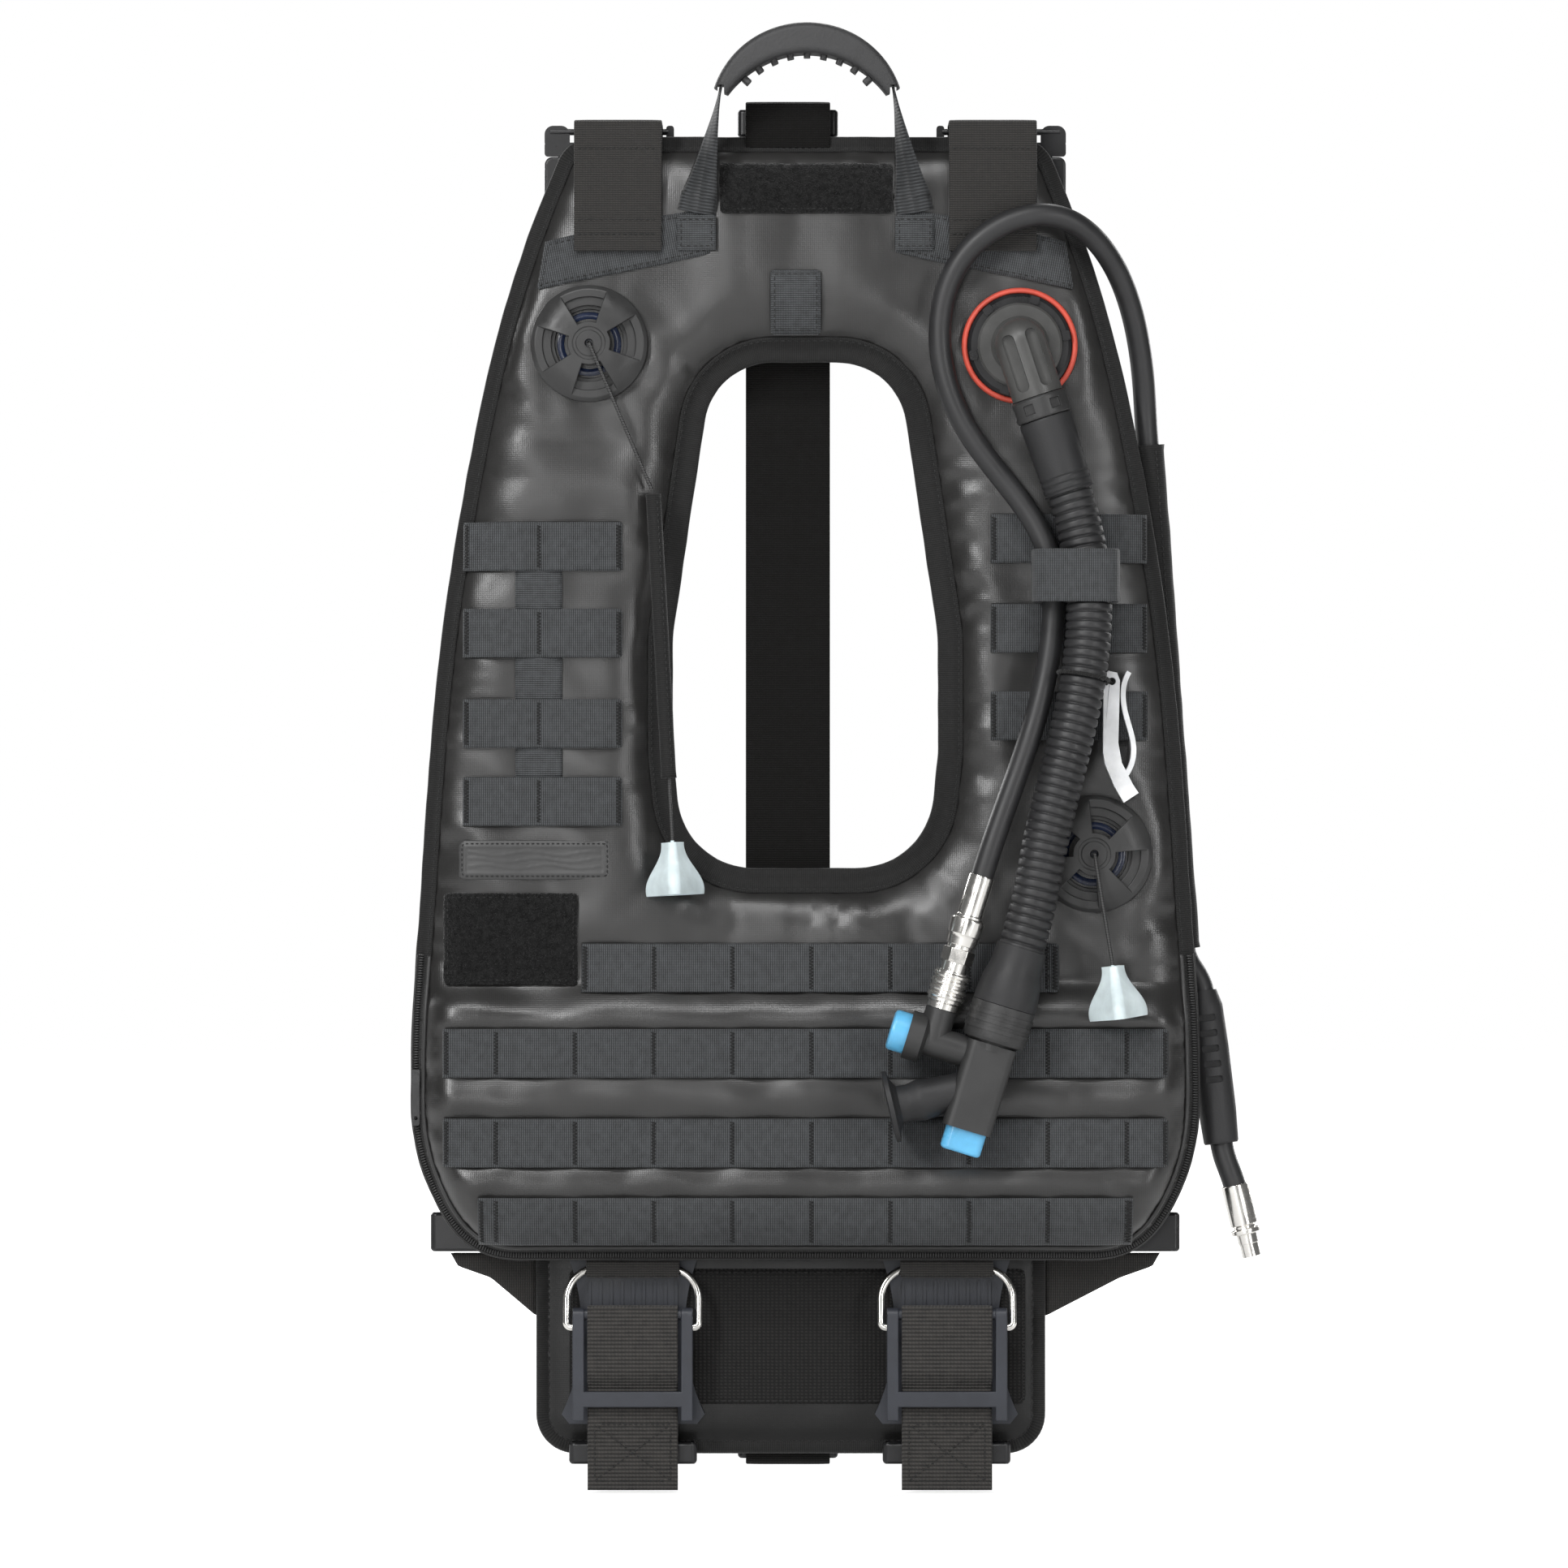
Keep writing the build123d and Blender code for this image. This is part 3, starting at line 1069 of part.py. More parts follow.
stud_radius = 4.76        # 3/8"-24 UNF low-pressure port thread
ferrule_bore = lp_radius + 0.05
with BuildPart() as lp_fittings:
    add(turned(inlet_axis, inflator_down, [
        (ferrule_bore, -34), (6.5, -34), (6.7, -33), (6.7, -13), (7.3, -12.6), (7.3, -11.2),
        (2, -11.2), (2, -22.8), (ferrule_bore, -22.8),
    ]))
    add(turned(ferrule_start, fitting_run, [
        (ferrule_bore, 0), (6.8, 0), (7, 1), (7, 21), (5.6, 21.6), (5.6, 23), (7.4, 23.4),
        (7.4, 25.6), (5.2, 26), (5.2, 31), (stud_radius, 31), (stud_radius, 38), (2, 38),
        (2, 11.2), (ferrule_bore, 11.2),
    ]))
lp_fittings.part.label = "lp_fittings"
export_step(lp_fittings.part, "parts/lp_fittings.step")

with BuildPart() as hose_sleeve:
    with BuildSketch(Plane(origin=sleeve_in, z_dir=sleeve_run)):
        Circle(7.9)
        Circle(6.9, mode=Mode.SUBTRACT)
    extrude(amount=(sleeve_out - sleeve_in).length)
hose_sleeve.part.label = "hose_sleeve"
export_step(hose_sleeve.part, "parts/hose_sleeve.step")

protector_length = (protector_out - protector_in).length
with BuildPart() as hose_protector:
    add(turned(protector_in, protector_run, [
        (6, 0), (7, 0), (9.2, 8), (9.8, 30), (9.8, 62), (9, protector_length - 1),
        (8.4, protector_length), (6, protector_length),
    ]))
    for slot in range(5):
        slot_centre = protector_in + protector_run * (14 + slot * 8)
        with BuildSketch(Plane(origin=slot_centre + Vector(0, -12, 0),
                               x_dir=(-protector_run.Z, 0, protector_run.X), z_dir=(0, -1, 0))):
            RectangleRounded(9, 3.6, 1.2)
        extrude(amount=-5, mode=Mode.SUBTRACT)
hose_protector.part.label = "hose_protector"
export_step(hose_protector.part, "parts/hose_protector.step")

# ---- retention strap that holds both hoses to the chest ----
with BuildPart() as hose_keeper:
    with BuildSketch(Plane.XY.offset(457)):
        add(box_sketch(115.6, 160.6, -54.4, -20.2, 7))
        add(box_sketch(117.2, 159, -52.8, -21.8, 5.5), mode=Mode.SUBTRACT)
    extrude(amount=27)
hose_keeper.part.label = "hose_keeper"
export_step(hose_keeper.part, "parts/hose_keeper.step")

# ---- whistle on its lanyard ----
whistle_back, whistle_thick = 20.8, 9.0
whistle_hole = (157.0, 416.6)
with BuildPart() as whistle:
    with BuildSketch(front(whistle_back)):
        with BuildLine():
            Polyline(
                (152.6, 419), (155, 422), (159.6, 421), (161, 417), (160.2, 385), (162, 375),
                (167.6, 364), (170.6, 359.4), (163, 354.4), (158, 363), (153.4, 374),
                (152.4, 380), close=True,
            )
        make_face()
        with BuildLine():
            Spline((165.8, 421.4), (162.9, 413), (164, 400), (167.3, 388), (164.4, 369))
        trace(line_width=2.6)
        with Locations(whistle_hole):
            Circle(1.9, mode=Mode.SUBTRACT)
    extrude(amount=whistle_thick)
whistle.part.label = "whistle"
export_step(whistle.part, "parts/whistle.step")

tie_z = 418.5
with BuildPart() as whistle_lanyard:
    tie_centre = at(141.7, 44.6, tie_z)
    with BuildSketch(Plane(origin=tie_centre, z_dir=(-0.163, -0.088, -0.983))):
        Circle(13.6)
        Circle(12.3, mode=Mode.SUBTRACT)
    extrude(amount=1.4, both=True)
    with BuildLine() as tether:
        Polyline(
            at(153.6, 40.5, 417.2), at(157, 33.5, 416.6), at(157, 19.4, 416.6),
        )
    with BuildSketch(Plane(origin=tether.line @ 0, z_dir=tether.line % 0)):
        Circle(0.9)
    sweep(path=tether.line, transition=Transition.ROUND)
whistle_lanyard.part.label = "whistle_lanyard"
export_step(whistle_lanyard.part, "parts/whistle_lanyard.step")
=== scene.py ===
import bpy
import bmesh
import json
import math
import random
import numpy as np
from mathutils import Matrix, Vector, noise
from mathutils.bvhtree import BVHTree
from mathutils.geometry import delaunay_2d_cdt


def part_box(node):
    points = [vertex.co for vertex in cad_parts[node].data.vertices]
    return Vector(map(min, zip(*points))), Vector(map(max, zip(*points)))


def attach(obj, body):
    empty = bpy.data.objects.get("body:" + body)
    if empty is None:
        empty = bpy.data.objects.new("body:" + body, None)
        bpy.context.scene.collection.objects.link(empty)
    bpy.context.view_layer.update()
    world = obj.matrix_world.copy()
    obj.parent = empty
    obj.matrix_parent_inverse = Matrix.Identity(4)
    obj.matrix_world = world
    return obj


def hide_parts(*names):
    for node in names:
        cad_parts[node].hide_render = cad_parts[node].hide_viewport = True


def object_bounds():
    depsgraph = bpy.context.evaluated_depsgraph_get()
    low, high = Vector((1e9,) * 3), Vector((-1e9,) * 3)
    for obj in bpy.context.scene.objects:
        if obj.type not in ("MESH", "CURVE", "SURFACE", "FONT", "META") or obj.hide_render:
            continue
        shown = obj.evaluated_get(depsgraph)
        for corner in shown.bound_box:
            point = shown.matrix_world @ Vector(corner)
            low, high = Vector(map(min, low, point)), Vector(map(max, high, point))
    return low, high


# Looks of a buoyancy compensator vest, in metres. The front faces -Y and +Z is up.
# Soft pieces are built here from the outlines of the CAD pieces; hard pieces keep their CAD
# meshes and get bevels and procedural materials.

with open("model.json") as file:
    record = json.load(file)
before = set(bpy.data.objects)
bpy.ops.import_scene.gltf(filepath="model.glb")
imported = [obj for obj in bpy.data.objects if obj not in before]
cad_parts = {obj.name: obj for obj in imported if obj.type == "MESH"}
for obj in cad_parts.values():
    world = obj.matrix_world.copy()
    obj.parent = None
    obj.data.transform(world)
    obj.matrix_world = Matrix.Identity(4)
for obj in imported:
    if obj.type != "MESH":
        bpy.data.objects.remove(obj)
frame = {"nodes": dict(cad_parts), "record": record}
cad_low, cad_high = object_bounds()
random.seed(7)
mm = 0.001
webbing_thick = 1.5 * mm
tape_thick = 0.8 * mm               # binding tape
tape_half = 2.1 * mm                # least distance of the tape's faces from the vest's middle
front_out = (0, -1, 0)
upright = (0, 1)                    # direction of webbing that runs up and down


# ============================================================ reading the CAD pieces
def cad_mesh(node):
    """Merged corner points and triangles of a CAD node."""
    source = frame["nodes"][node].data
    points = np.zeros(len(source.vertices) * 3)
    source.vertices.foreach_get("co", points)
    points = points.reshape(-1, 3)
    keys = np.round(points / (0.01 * mm)).astype(np.int64)
    merged, lookup = np.unique(keys, axis=0, return_inverse=True)
    lookup = lookup.reshape(-1)
    source.calc_loop_triangles()
    triangles = np.zeros(len(source.loop_triangles) * 3, np.int32)
    source.loop_triangles.foreach_get("vertices", triangles)
    return merged * (0.01 * mm), lookup[triangles].reshape(-1, 3)


def islands(node):
    """(points, triangles) of each separate solid in a CAD node, from left to right."""
    points, triangles = cad_mesh(node)
    group = np.arange(len(points))
    while True:
        lowest = group[triangles].min(axis=1)
        new = group.copy()
        for corner in range(3):
            np.minimum.at(new, triangles[:, corner], lowest)
        new = new[new]
        if (new == group).all():
            break
        group = new
    found = []
    for root in np.unique(group[triangles[:, 0]]):
        inside = triangles[group[triangles[:, 0]] == root]
        used, local = np.unique(inside, return_inverse=True)
        found.append((points[used], local.reshape(-1, 3)))
    return sorted(found, key=lambda island: island[0][:, 0].mean())


def box_of(points):
    """Lowest and highest corner round a cloud of points."""
    return Vector(points.min(axis=0)), Vector(points.max(axis=0))


def unit(vectors):
    return vectors / np.linalg.norm(vectors, axis=-1, keepdims=True)


def named(kind, name):
    """Mount or joint of this name in the frame's record."""
    record = frame["record"]
    entries = record["mounts"] if kind == "mount" else record["behaviour"]["joints"]
    return next(entry for entry in entries if entry["name"] == name)


def free_edges(triangles):
    """Next corner after each corner round the rim of a patch of triangles."""
    edges = {}
    for a, b, c in triangles:
        for start, end in ((a, b), (b, c), (c, a)):
            if (end, start) in edges:
                del edges[(end, start)]
            else:
                edges[(start, end)] = True
    return {start: end for start, end in edges}


def front_loops(part):
    """Closed outlines, as (x, z) points, of the frontmost flat faces of a CAD solid."""
    points, triangles = part
    front = points[:, 1].min()
    flat = (points[triangles][:, :, 1] < front + 0.05 * mm).all(axis=1)
    following = free_edges(triangles[flat])
    loops = []
    while following:
        start, end = following.popitem()
        loop = [start]
        while end != start and end in following:
            loop.append(end)
            end = following.pop(end)
        loops.append(points[loop][:, (0, 2)])
    return sorted(loops, key=lambda loop: -np.ptp(loop[:, 0]) * np.ptp(loop[:, 1]))


def section(part, origin, direction, reach):
    """Centre of the cut through a CAD tube near origin, square to direction."""
    points, triangles = part
    height = (points - origin) @ direction
    corners, heights = points[triangles], height[triangles]
    crossing = (heights.min(axis=1) < 0) & (heights.max(axis=1) > 0)
    total, weight = np.zeros(3), 0.0
    for corner, level in zip(corners[crossing], heights[crossing]):
        cut = []
        for i in range(3):
            j = (i + 1) % 3
            if (level[i] < 0) != (level[j] < 0):
                share = level[i] / (level[i] - level[j])
                cut.append(corner[i] + (corner[j] - corner[i]) * share)
        middle, length = (cut[0] + cut[1]) / 2, np.linalg.norm(cut[0] - cut[1])
        if np.linalg.norm(middle - origin) < reach:
            total += middle * length
            weight += length
    return total / weight if weight > 0 else None


def centreline(part, start, direction, radius, step):
    """Points along the middle of a CAD tube, marched from one end."""
    line = []
    centre, heading = np.array(start, float), np.array(direction, float)
    heading = unit(heading)
    while True:
        found = section(part, centre, heading, radius * 1.7)
        if found is None:
            break
        if line:
            fresh = unit(found - line[-1])
            heading = fresh if len(line) < 2 else unit(heading * 0.35 + fresh * 0.65)
        line.append(found)
        centre = found + heading * step
    return np.array(line)


# ============================================================ building meshes
def finish_mesh(name, mesh, material, replaces, body):
    """Puts a mesh in the scene on its CAD body, in place of the CAD nodes it replaces."""
    mesh.materials.append(material)
    piece = bpy.data.objects.new(name, mesh)
    bpy.context.scene.collection.objects.link(piece)
    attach(piece, body)
    if replaces:
        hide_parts(*replaces)
    return piece


def build(name, shapes, material, replaces=(), body="vest"):
    """One piece from shapes, each a tuple of points, faces and UVs of the faces' corners."""
    points, faces, corner_uvs = [], [], []
    for shape_points, shape_faces, shape_uvs in shapes:
        base = len(points)
        points += [tuple(p) for p in shape_points]
        faces += [tuple(int(i) + base for i in face) for face in shape_faces]
        corner_uvs += list(shape_uvs)
    mesh = bpy.data.meshes.new(name)
    mesh.from_pydata(points, [], faces)
    layer = mesh.uv_layers.new(name="UVMap")
    flat = [value for face_uvs in corner_uvs for uv in face_uvs for value in uv]
    layer.data.foreach_set("uv", flat)
    work = bmesh.new()
    work.from_mesh(mesh)
    bmesh.ops.recalc_face_normals(work, faces=work.faces)
    work.to_mesh(mesh)
    work.free()
    for polygon in mesh.polygons:
        polygon.use_smooth = True
    return finish_mesh(name, mesh, material, replaces, body)


def evenly(points, step, closed=False):
    """The same line with corners every step along it."""
    points = np.array(points, float)
    if closed:
        points = np.vstack([points, points[:1]])
    travelled = distances(points)
    count = max(2, int(round(travelled[-1] / step)) + 1)
    stations = np.linspace(0, travelled[-1], count)
    line = np.stack([np.interp(stations, travelled, points[:, k])
                     for k in range(points.shape[1])], axis=1)
    return line[:-1] if closed else line


def rounded(points, radius, steps=6):
    """A line whose inner corners are turned into short curves."""
    points = [np.array(p, float) for p in points]
    line = [points[0]]
    for before, corner, after in zip(points, points[1:], points[2:]):
        reach_in = min(radius, np.linalg.norm(corner - before) * 0.49)
        reach_out = min(radius, np.linalg.norm(after - corner) * 0.49)
        start = corner + unit(before - corner) * reach_in
        end = corner + unit(after - corner) * reach_out
        for k in range(steps + 1):
            t = k / steps
            line.append(start * (1 - t) ** 2 + corner * 2 * t * (1 - t) + end * t * t)
    line.append(points[-1])
    return line


def smoothed(values, width):
    """Running average over width neighbours, with the ends repeated."""
    padded = np.concatenate([[values[0]] * width, values, [values[-1]] * width])
    kernel = np.ones(2 * width + 1) / (2 * width + 1)
    return np.convolve(padded, kernel, mode="valid")


def distances(points):
    """0, then the distance travelled at each following point of a line."""
    gaps = np.linalg.norm(np.diff(points, axis=0), axis=1)
    return np.concatenate([[0], np.cumsum(gaps)])


def ringed(grid, closed, along=None, around=None):
    """Shape from rings of points (rings by points by 3), open or closed along its length."""
    count, ring = grid.shape[:2]
    if along is None:
        along = distances(np.vstack([grid[:, 0], grid[:1, 0]]))
    if around is None:
        middle = grid[count // 2]
        around = distances(np.vstack([middle, middle[:1]]))
    faces, uvs = [], []
    for i in range(count if closed else count - 1):
        k = (i + 1) % count
        for j in range(ring):
            n = (j + 1) % ring
            faces.append((i * ring + j, i * ring + n, k * ring + n, k * ring + j))
            uvs.append(((along[i], around[j]), (along[i], around[j + 1]),
                        (along[i + 1], around[j + 1]), (along[i + 1], around[j])))
    if not closed:
        for first in (0, (count - 1) * ring):
            faces.append(tuple(range(first, first + ring)))
            uvs.append(((0, 0),) * ring)
    return grid.reshape(-1, 3), faces, uvs


def swept(path, across, profile, closed=False):
    """Carries a closed profile of (across, outward) offsets along a path."""
    path = np.array(path, float)
    count = len(path)
    if closed:
        tangent = np.roll(path, -1, axis=0) - np.roll(path, 1, axis=0)
    else:
        tangent = np.gradient(path, axis=0)
    tangent = unit(tangent)
    across = np.broadcast_to(np.array(across, float), (count, 3))
    across = unit(across - (across * tangent).sum(axis=1, keepdims=True) * tangent)
    outward = np.cross(across, tangent)
    profile = np.array(profile, float)
    if profile.ndim == 2:
        profile = np.broadcast_to(profile, (count,) + profile.shape)
    grid = path[:, None] + profile[..., :1] * across[:, None] + profile[..., 1:] * outward[:, None]
    along = distances(path)
    along = np.append(along, along[-1] + along[1])
    middle = profile[count // 2]
    around = distances(np.vstack([middle, middle[:1]]))
    return ringed(grid, closed, along, around - around[-1] / 4)


def flat_profile(width, thickness, count=8):
    """Webbing cut across: flat faces and soft woven edges."""
    half, edge = width / 2, thickness * 0.5
    stations = np.linspace(-(half - edge), half - edge, count)
    lift = 1 - 0.25 * (np.abs(stations) / half) ** 6
    top = [(x, thickness / 2 * k) for x, k in zip(stations, lift)]
    bottom = [(x, -thickness / 2 * k) for x, k in zip(stations[::-1], lift)]
    return (top + [(half - edge * 0.3, thickness * 0.3), (half, 0),
                   (half - edge * 0.3, -thickness * 0.3)]
            + bottom + [(-half + edge * 0.3, -thickness * 0.3), (-half, 0),
                        (-half + edge * 0.3, thickness * 0.3)])


def round_profile(radius, count=24):
    """Circle cut square to a tube."""
    turns = np.linspace(0, 2 * math.pi, count, endpoint=False)
    return np.stack([np.cos(turns) * radius, np.sin(turns) * radius], axis=1)


class Threads:
    """Collects sewn stitches as small capsules, and builds them as one piece."""

    sides = 6

    def __init__(self):
        self.points, self.faces, self.uvs = [], [], []

    def stitch(self, start, end, outward, radius):
        start, end = np.array(start, float), np.array(end, float)
        along = end - start
        length = np.linalg.norm(along)
        if length < 1e-6:
            return
        along /= length
        outward = np.array(outward, float)
        outward = outward - (outward @ along) * along
        outward /= max(np.linalg.norm(outward), 1e-9)
        side = np.cross(along, outward)
        base = len(self.points)
        levels = ((0, 0.35, -0.8), (0.18, 0.9, 0.3), (0.5, 1, 0.55), (0.82, 0.9, 0.3),
                  (1, 0.35, -0.8))
        for share, size, rise in levels:
            centre = start + along * length * share + outward * radius * rise
            for k in range(self.sides):
                turn = 2 * math.pi * k / self.sides
                self.points.append(centre + (side * math.cos(turn) + outward * math.sin(turn))
                                   * radius * size)
        for i in range(len(levels) - 1):
            for k in range(self.sides):
                n = (k + 1) % self.sides
                a, b = base + i * self.sides + k, base + i * self.sides + n
                self.faces.append((a, b, b + self.sides, a + self.sides))
        last = base + (len(levels) - 1) * self.sides
        self.faces.append(tuple(base + k for k in range(self.sides))[::-1])
        self.faces.append(tuple(last + k for k in range(self.sides)))

    def run(self, line, outward, pitch=3.3 * mm, length=2.3 * mm, radius=0.3 * mm, closed=False):
        """Stitches along a line; outward is one direction or one per corner of the line."""
        line = np.array(line, float)
        outward = np.broadcast_to(np.array(outward, float), line.shape)
        if closed:
            line, outward = np.vstack([line, line[:1]]), np.vstack([outward, outward[:1]])
        travelled = distances(line)
        for k in range(int(travelled[-1] / pitch)):
            ends = []
            for place in (k * pitch, k * pitch + length):
                ends.append([np.interp(place, travelled, line[:, i]) for i in range(3)])
            normal = [np.interp(k * pitch, travelled, outward[:, i]) for i in range(3)]
            self.stitch(ends[0], ends[1], normal, radius)

    def build(self, name, material, body="vest"):
        uvs = [((0, 0),) * len(face) for face in self.faces]
        return build(name, [(self.points, self.faces, uvs)], material, body=body)


# ============================================================ materials
class Graph:
    """A material and short ways to add nodes to it."""

    def __init__(self, name, colour, rough, metal=0.0, specular=0.5, coat=0.0, sheen=0.0):
        self.material = bpy.data.materials.new(name)
        self.material.use_nodes = True
        self.tree = self.material.node_tree
        self.shader = self.tree.nodes["Principled BSDF"]
        self.material.diffuse_color = (*colour, 1)
        self.set("Base Color", (*colour, 1))
        self.set("Roughness", rough)
        self.set("Metallic", metal)
        self.set("Specular IOR Level", specular)
        self.set("Coat Weight", coat)
        self.set("Sheen Weight", sheen)
        self.coords = self.node("ShaderNodeTexCoord")

    def set(self, name, value):
        socket = self.shader.inputs[name]
        if isinstance(value, bpy.types.NodeSocket):
            self.tree.links.new(value, socket)
        else:
            socket.default_value = value

    def node(self, kind, settings=None, **inputs):
        made = self.tree.nodes.new(kind)
        for name, value in (settings or {}).items():
            setattr(made, name, value)
        for name, value in inputs.items():
            socket = made.inputs[int(name[1:]) if name[1:].isdigit() else name.replace("_", " ")]
            if isinstance(value, bpy.types.NodeSocket):
                self.tree.links.new(value, socket)
            else:
                socket.default_value = value
        return made

    def math(self, operation, first, second=0.0, third=0.0):
        return self.node("ShaderNodeMath", {"operation": operation},
                         i0=first, i1=second, i2=third).outputs[0]

    def add(self, first, second):
        return self.math("ADD", first, second)

    def times(self, first, second):
        return self.math("MULTIPLY", first, second)

    def noise(self, vector, scale, detail=3.0):
        return self.node("ShaderNodeTexNoise", Vector=vector, Scale=scale, Detail=detail,
                         Roughness=0.55).outputs["Fac"]

    def ramp(self, factor, low, high, start=0.3, end=0.7):
        return self.node("ShaderNodeMapRange", i0=factor, i1=start, i2=end, i3=low,
                         i4=high).outputs[0]

    def mix(self, factor, first, second):
        made = self.node("ShaderNodeMix", {"data_type": "RGBA"})
        for index, value in ((0, factor), (6, first), (7, second)):
            if isinstance(value, bpy.types.NodeSocket):
                self.tree.links.new(value, made.inputs[index])
            else:
                made.inputs[index].default_value = value
        return made.outputs[2]

    def axes(self, vector):
        return self.node("ShaderNodeSeparateXYZ", Vector=vector).outputs

    def wave(self, coordinate, pitch):
        """0 to 1 ripple with this pitch along a coordinate in metres."""
        turn = self.times(coordinate, 2 * math.pi / pitch)
        return self.math("MULTIPLY_ADD", self.math("SINE", turn), 0.5, 0.5)

    def bump(self, height, depth, strength=1.0):
        made = self.node("ShaderNodeBump", Height=height, Strength=strength, Distance=depth)
        self.set("Normal", made.outputs[0])
        return made.outputs[0]


def tone(level, warm=0.0):
    """Near grey of a given level; warm adds brown, below zero adds blue."""
    return (level * (1 + warm), level, level * (1 - warm), 1)


def coated_fabric(name, level, specular=0.8):
    g = Graph(name, (level, level, level), 0.3, specular=specular)
    place = g.coords.outputs["Object"]
    x, y, z = g.axes(place)
    weave = g.add(g.times(g.wave(x, 1.05 * mm), 0.5), g.times(g.wave(z, 1.05 * mm), 0.5))
    grain = g.noise(place, 900, 2)
    clouds = g.noise(place, 16, 3)
    g.set("Base Color", g.mix(g.ramp(clouds, 0, 1), tone(level * 0.8, 0.04),
                              tone(level * 1.2, 0.03)))
    g.set("Roughness", g.add(g.ramp(clouds, 0.3, 0.38), g.times(weave, 0.05)))
    height = g.add(g.times(weave, 0.25), g.times(grain, 0.3))
    folds = g.noise(place, 42, 2)
    height = g.add(height, g.times(folds, 1.2))
    g.bump(height, 0.15 * mm)
    return g.material


def webbing_cloth(name, level, warm, rib, column, rough=0.72, depth=0.22, worn=0.25,
                  specular=0.35):
    """Woven webbing: ribs across the strap every rib, columns along it every column."""
    g = Graph(name, (level, level, level), rough, specular=specular, sheen=specular / 3)
    s, t, unused = g.axes(g.coords.outputs["UV"])
    ribs, columns = g.wave(s, rib), g.wave(t, column)
    weave = g.times(ribs, g.math("MULTIPLY_ADD", columns, 0.45, 0.55))
    fluff = g.noise(g.coords.outputs["Object"], 240, 4)
    blend = g.add(g.times(weave, 0.8), g.ramp(fluff, 0, worn))
    g.set("Base Color", g.mix(blend, tone(level * 0.15, warm), tone(level * 2.1, warm)))
    g.set("Roughness", g.ramp(fluff, rough - 0.06, rough + 0.08))
    g.bump(g.add(weave, g.times(fluff, 0.35)), depth * mm)
    return g.material


def binding_cloth():
    return webbing_cloth("binding_cloth", 0.008, 0.02, 1.1 * mm, 0.8 * mm, 0.78, 0.12, 0.2)


def pile_cloth():
    g = Graph("loop_pile", (0.006, 0.006, 0.006), 0.95, specular=0.1, sheen=0.25)
    place = g.coords.outputs["Object"]
    curls = g.noise(place, 1300, 3)
    tufts = g.noise(place, 380, 4)
    both = g.times(curls, tufts)
    g.set("Base Color", g.mix(g.ramp(both, 0, 1, 0.15, 0.42), tone(0.0015), tone(0.017)))
    g.bump(g.add(curls, tufts), 0.7 * mm)
    return g.material


def moulded_plastic(name, colour, rough, grain_size=1600, depth=0.03, coat=0.0):
    g = Graph(name, colour, rough, coat=coat)
    place = g.coords.outputs["Object"]
    grain = g.noise(place, grain_size, 2)
    wear = g.noise(place, 60, 5)
    low = (colour[0] * 0.85, colour[1] * 0.85, colour[2] * 0.85, 1)
    high = (colour[0] * 1.2, colour[1] * 1.2, colour[2] * 1.2, 1)
    g.set("Base Color", g.mix(g.ramp(wear, 0, 1), low, high))
    g.set("Roughness", g.ramp(wear, rough - 0.05, rough + 0.09))
    g.bump(grain, depth * mm)
    return g


def metal(name, colour, rough, brush=0.0):
    g = Graph(name, colour, rough, metal=1.0)
    place = g.coords.outputs["Object"]
    marks = g.noise(place, 180, 6)
    fine = g.noise(place, 1500, 2)
    g.set("Roughness", g.ramp(marks, rough * 0.7, rough * 1.4))
    g.bump(g.add(fine, g.times(marks, brush)), 0.0015 * mm)
    return g.material


def pale_rubber(name, colour, rough, depth):
    """Slightly see-through moulded silicone or nylon."""
    g = moulded_plastic(name, colour, rough, 900, 0.03)
    g.set("Subsurface Weight", 0.35)
    g.shader.inputs["Subsurface Radius"].default_value = (depth, depth, depth * 1.1)
    g.shader.inputs["Subsurface Scale"].default_value = 1.0
    return g.material


def mesh_cloth():
    """Coarse spacer mesh of the pad's middle panel."""
    g = Graph("spacer_mesh", (0.02, 0.02, 0.019), 0.75, specular=0.3, sheen=0.1)
    x, y, z = g.axes(g.coords.outputs["Object"])
    holes = g.times(g.wave(x, 2.2 * mm), g.wave(z, 1.7 * mm))
    fluff = g.noise(g.coords.outputs["Object"], 300, 3)
    shade = g.add(holes, g.times(fluff, 0.3))
    g.set("Base Color", g.mix(g.ramp(shade, 0, 1, 0.1, 0.9), tone(0.002), tone(0.016, 0.06)))
    g.bump(shade, 0.4 * mm)
    return g.material


cloth = {
    "coated": coated_fabric("coated_fabric", 0.016),
    "pad": coated_fabric("pad_fabric", 0.003, 0.45),
    "binding": binding_cloth(),
    "molle": webbing_cloth("molle_webbing", 0.046, -0.06, 1.1 * mm, 1.3 * mm, 0.66, 0.25),
    "leg": webbing_cloth("leg_webbing", 0.03, -0.06, 1.7 * mm, 6 * mm, 0.66, 0.4),
    "strap": webbing_cloth("strap_webbing", 0.017, 0.08, 1.15 * mm, 1.4 * mm, 0.7, 0.25),
    # The spine webbing is the strap webbing made darker and duller: painted shade for the spine
    # strap, which lies in shadow behind the vest's neck opening.
    "spine": webbing_cloth("spine_webbing_painted_shade", 0.003, 0.1, 1.15 * mm, 1.4 * mm, 0.72, 0.25,
                           specular=0.15),
    "basket": webbing_cloth("basket_webbing", 0.026, 0.08, 2.0 * mm, 1.8 * mm, 0.66, 0.5, 0.3),
    "pile": pile_cloth(),
    "mesh": mesh_cloth(),
}
thread = webbing_cloth("sewing_thread", 0.012, 0.0, 0.5 * mm, 0.5 * mm, 0.6, 0.02)
pale_thread = webbing_cloth("bar_tack_thread", 0.006, -0.05, 0.5 * mm, 0.5 * mm, 0.6, 0.02)


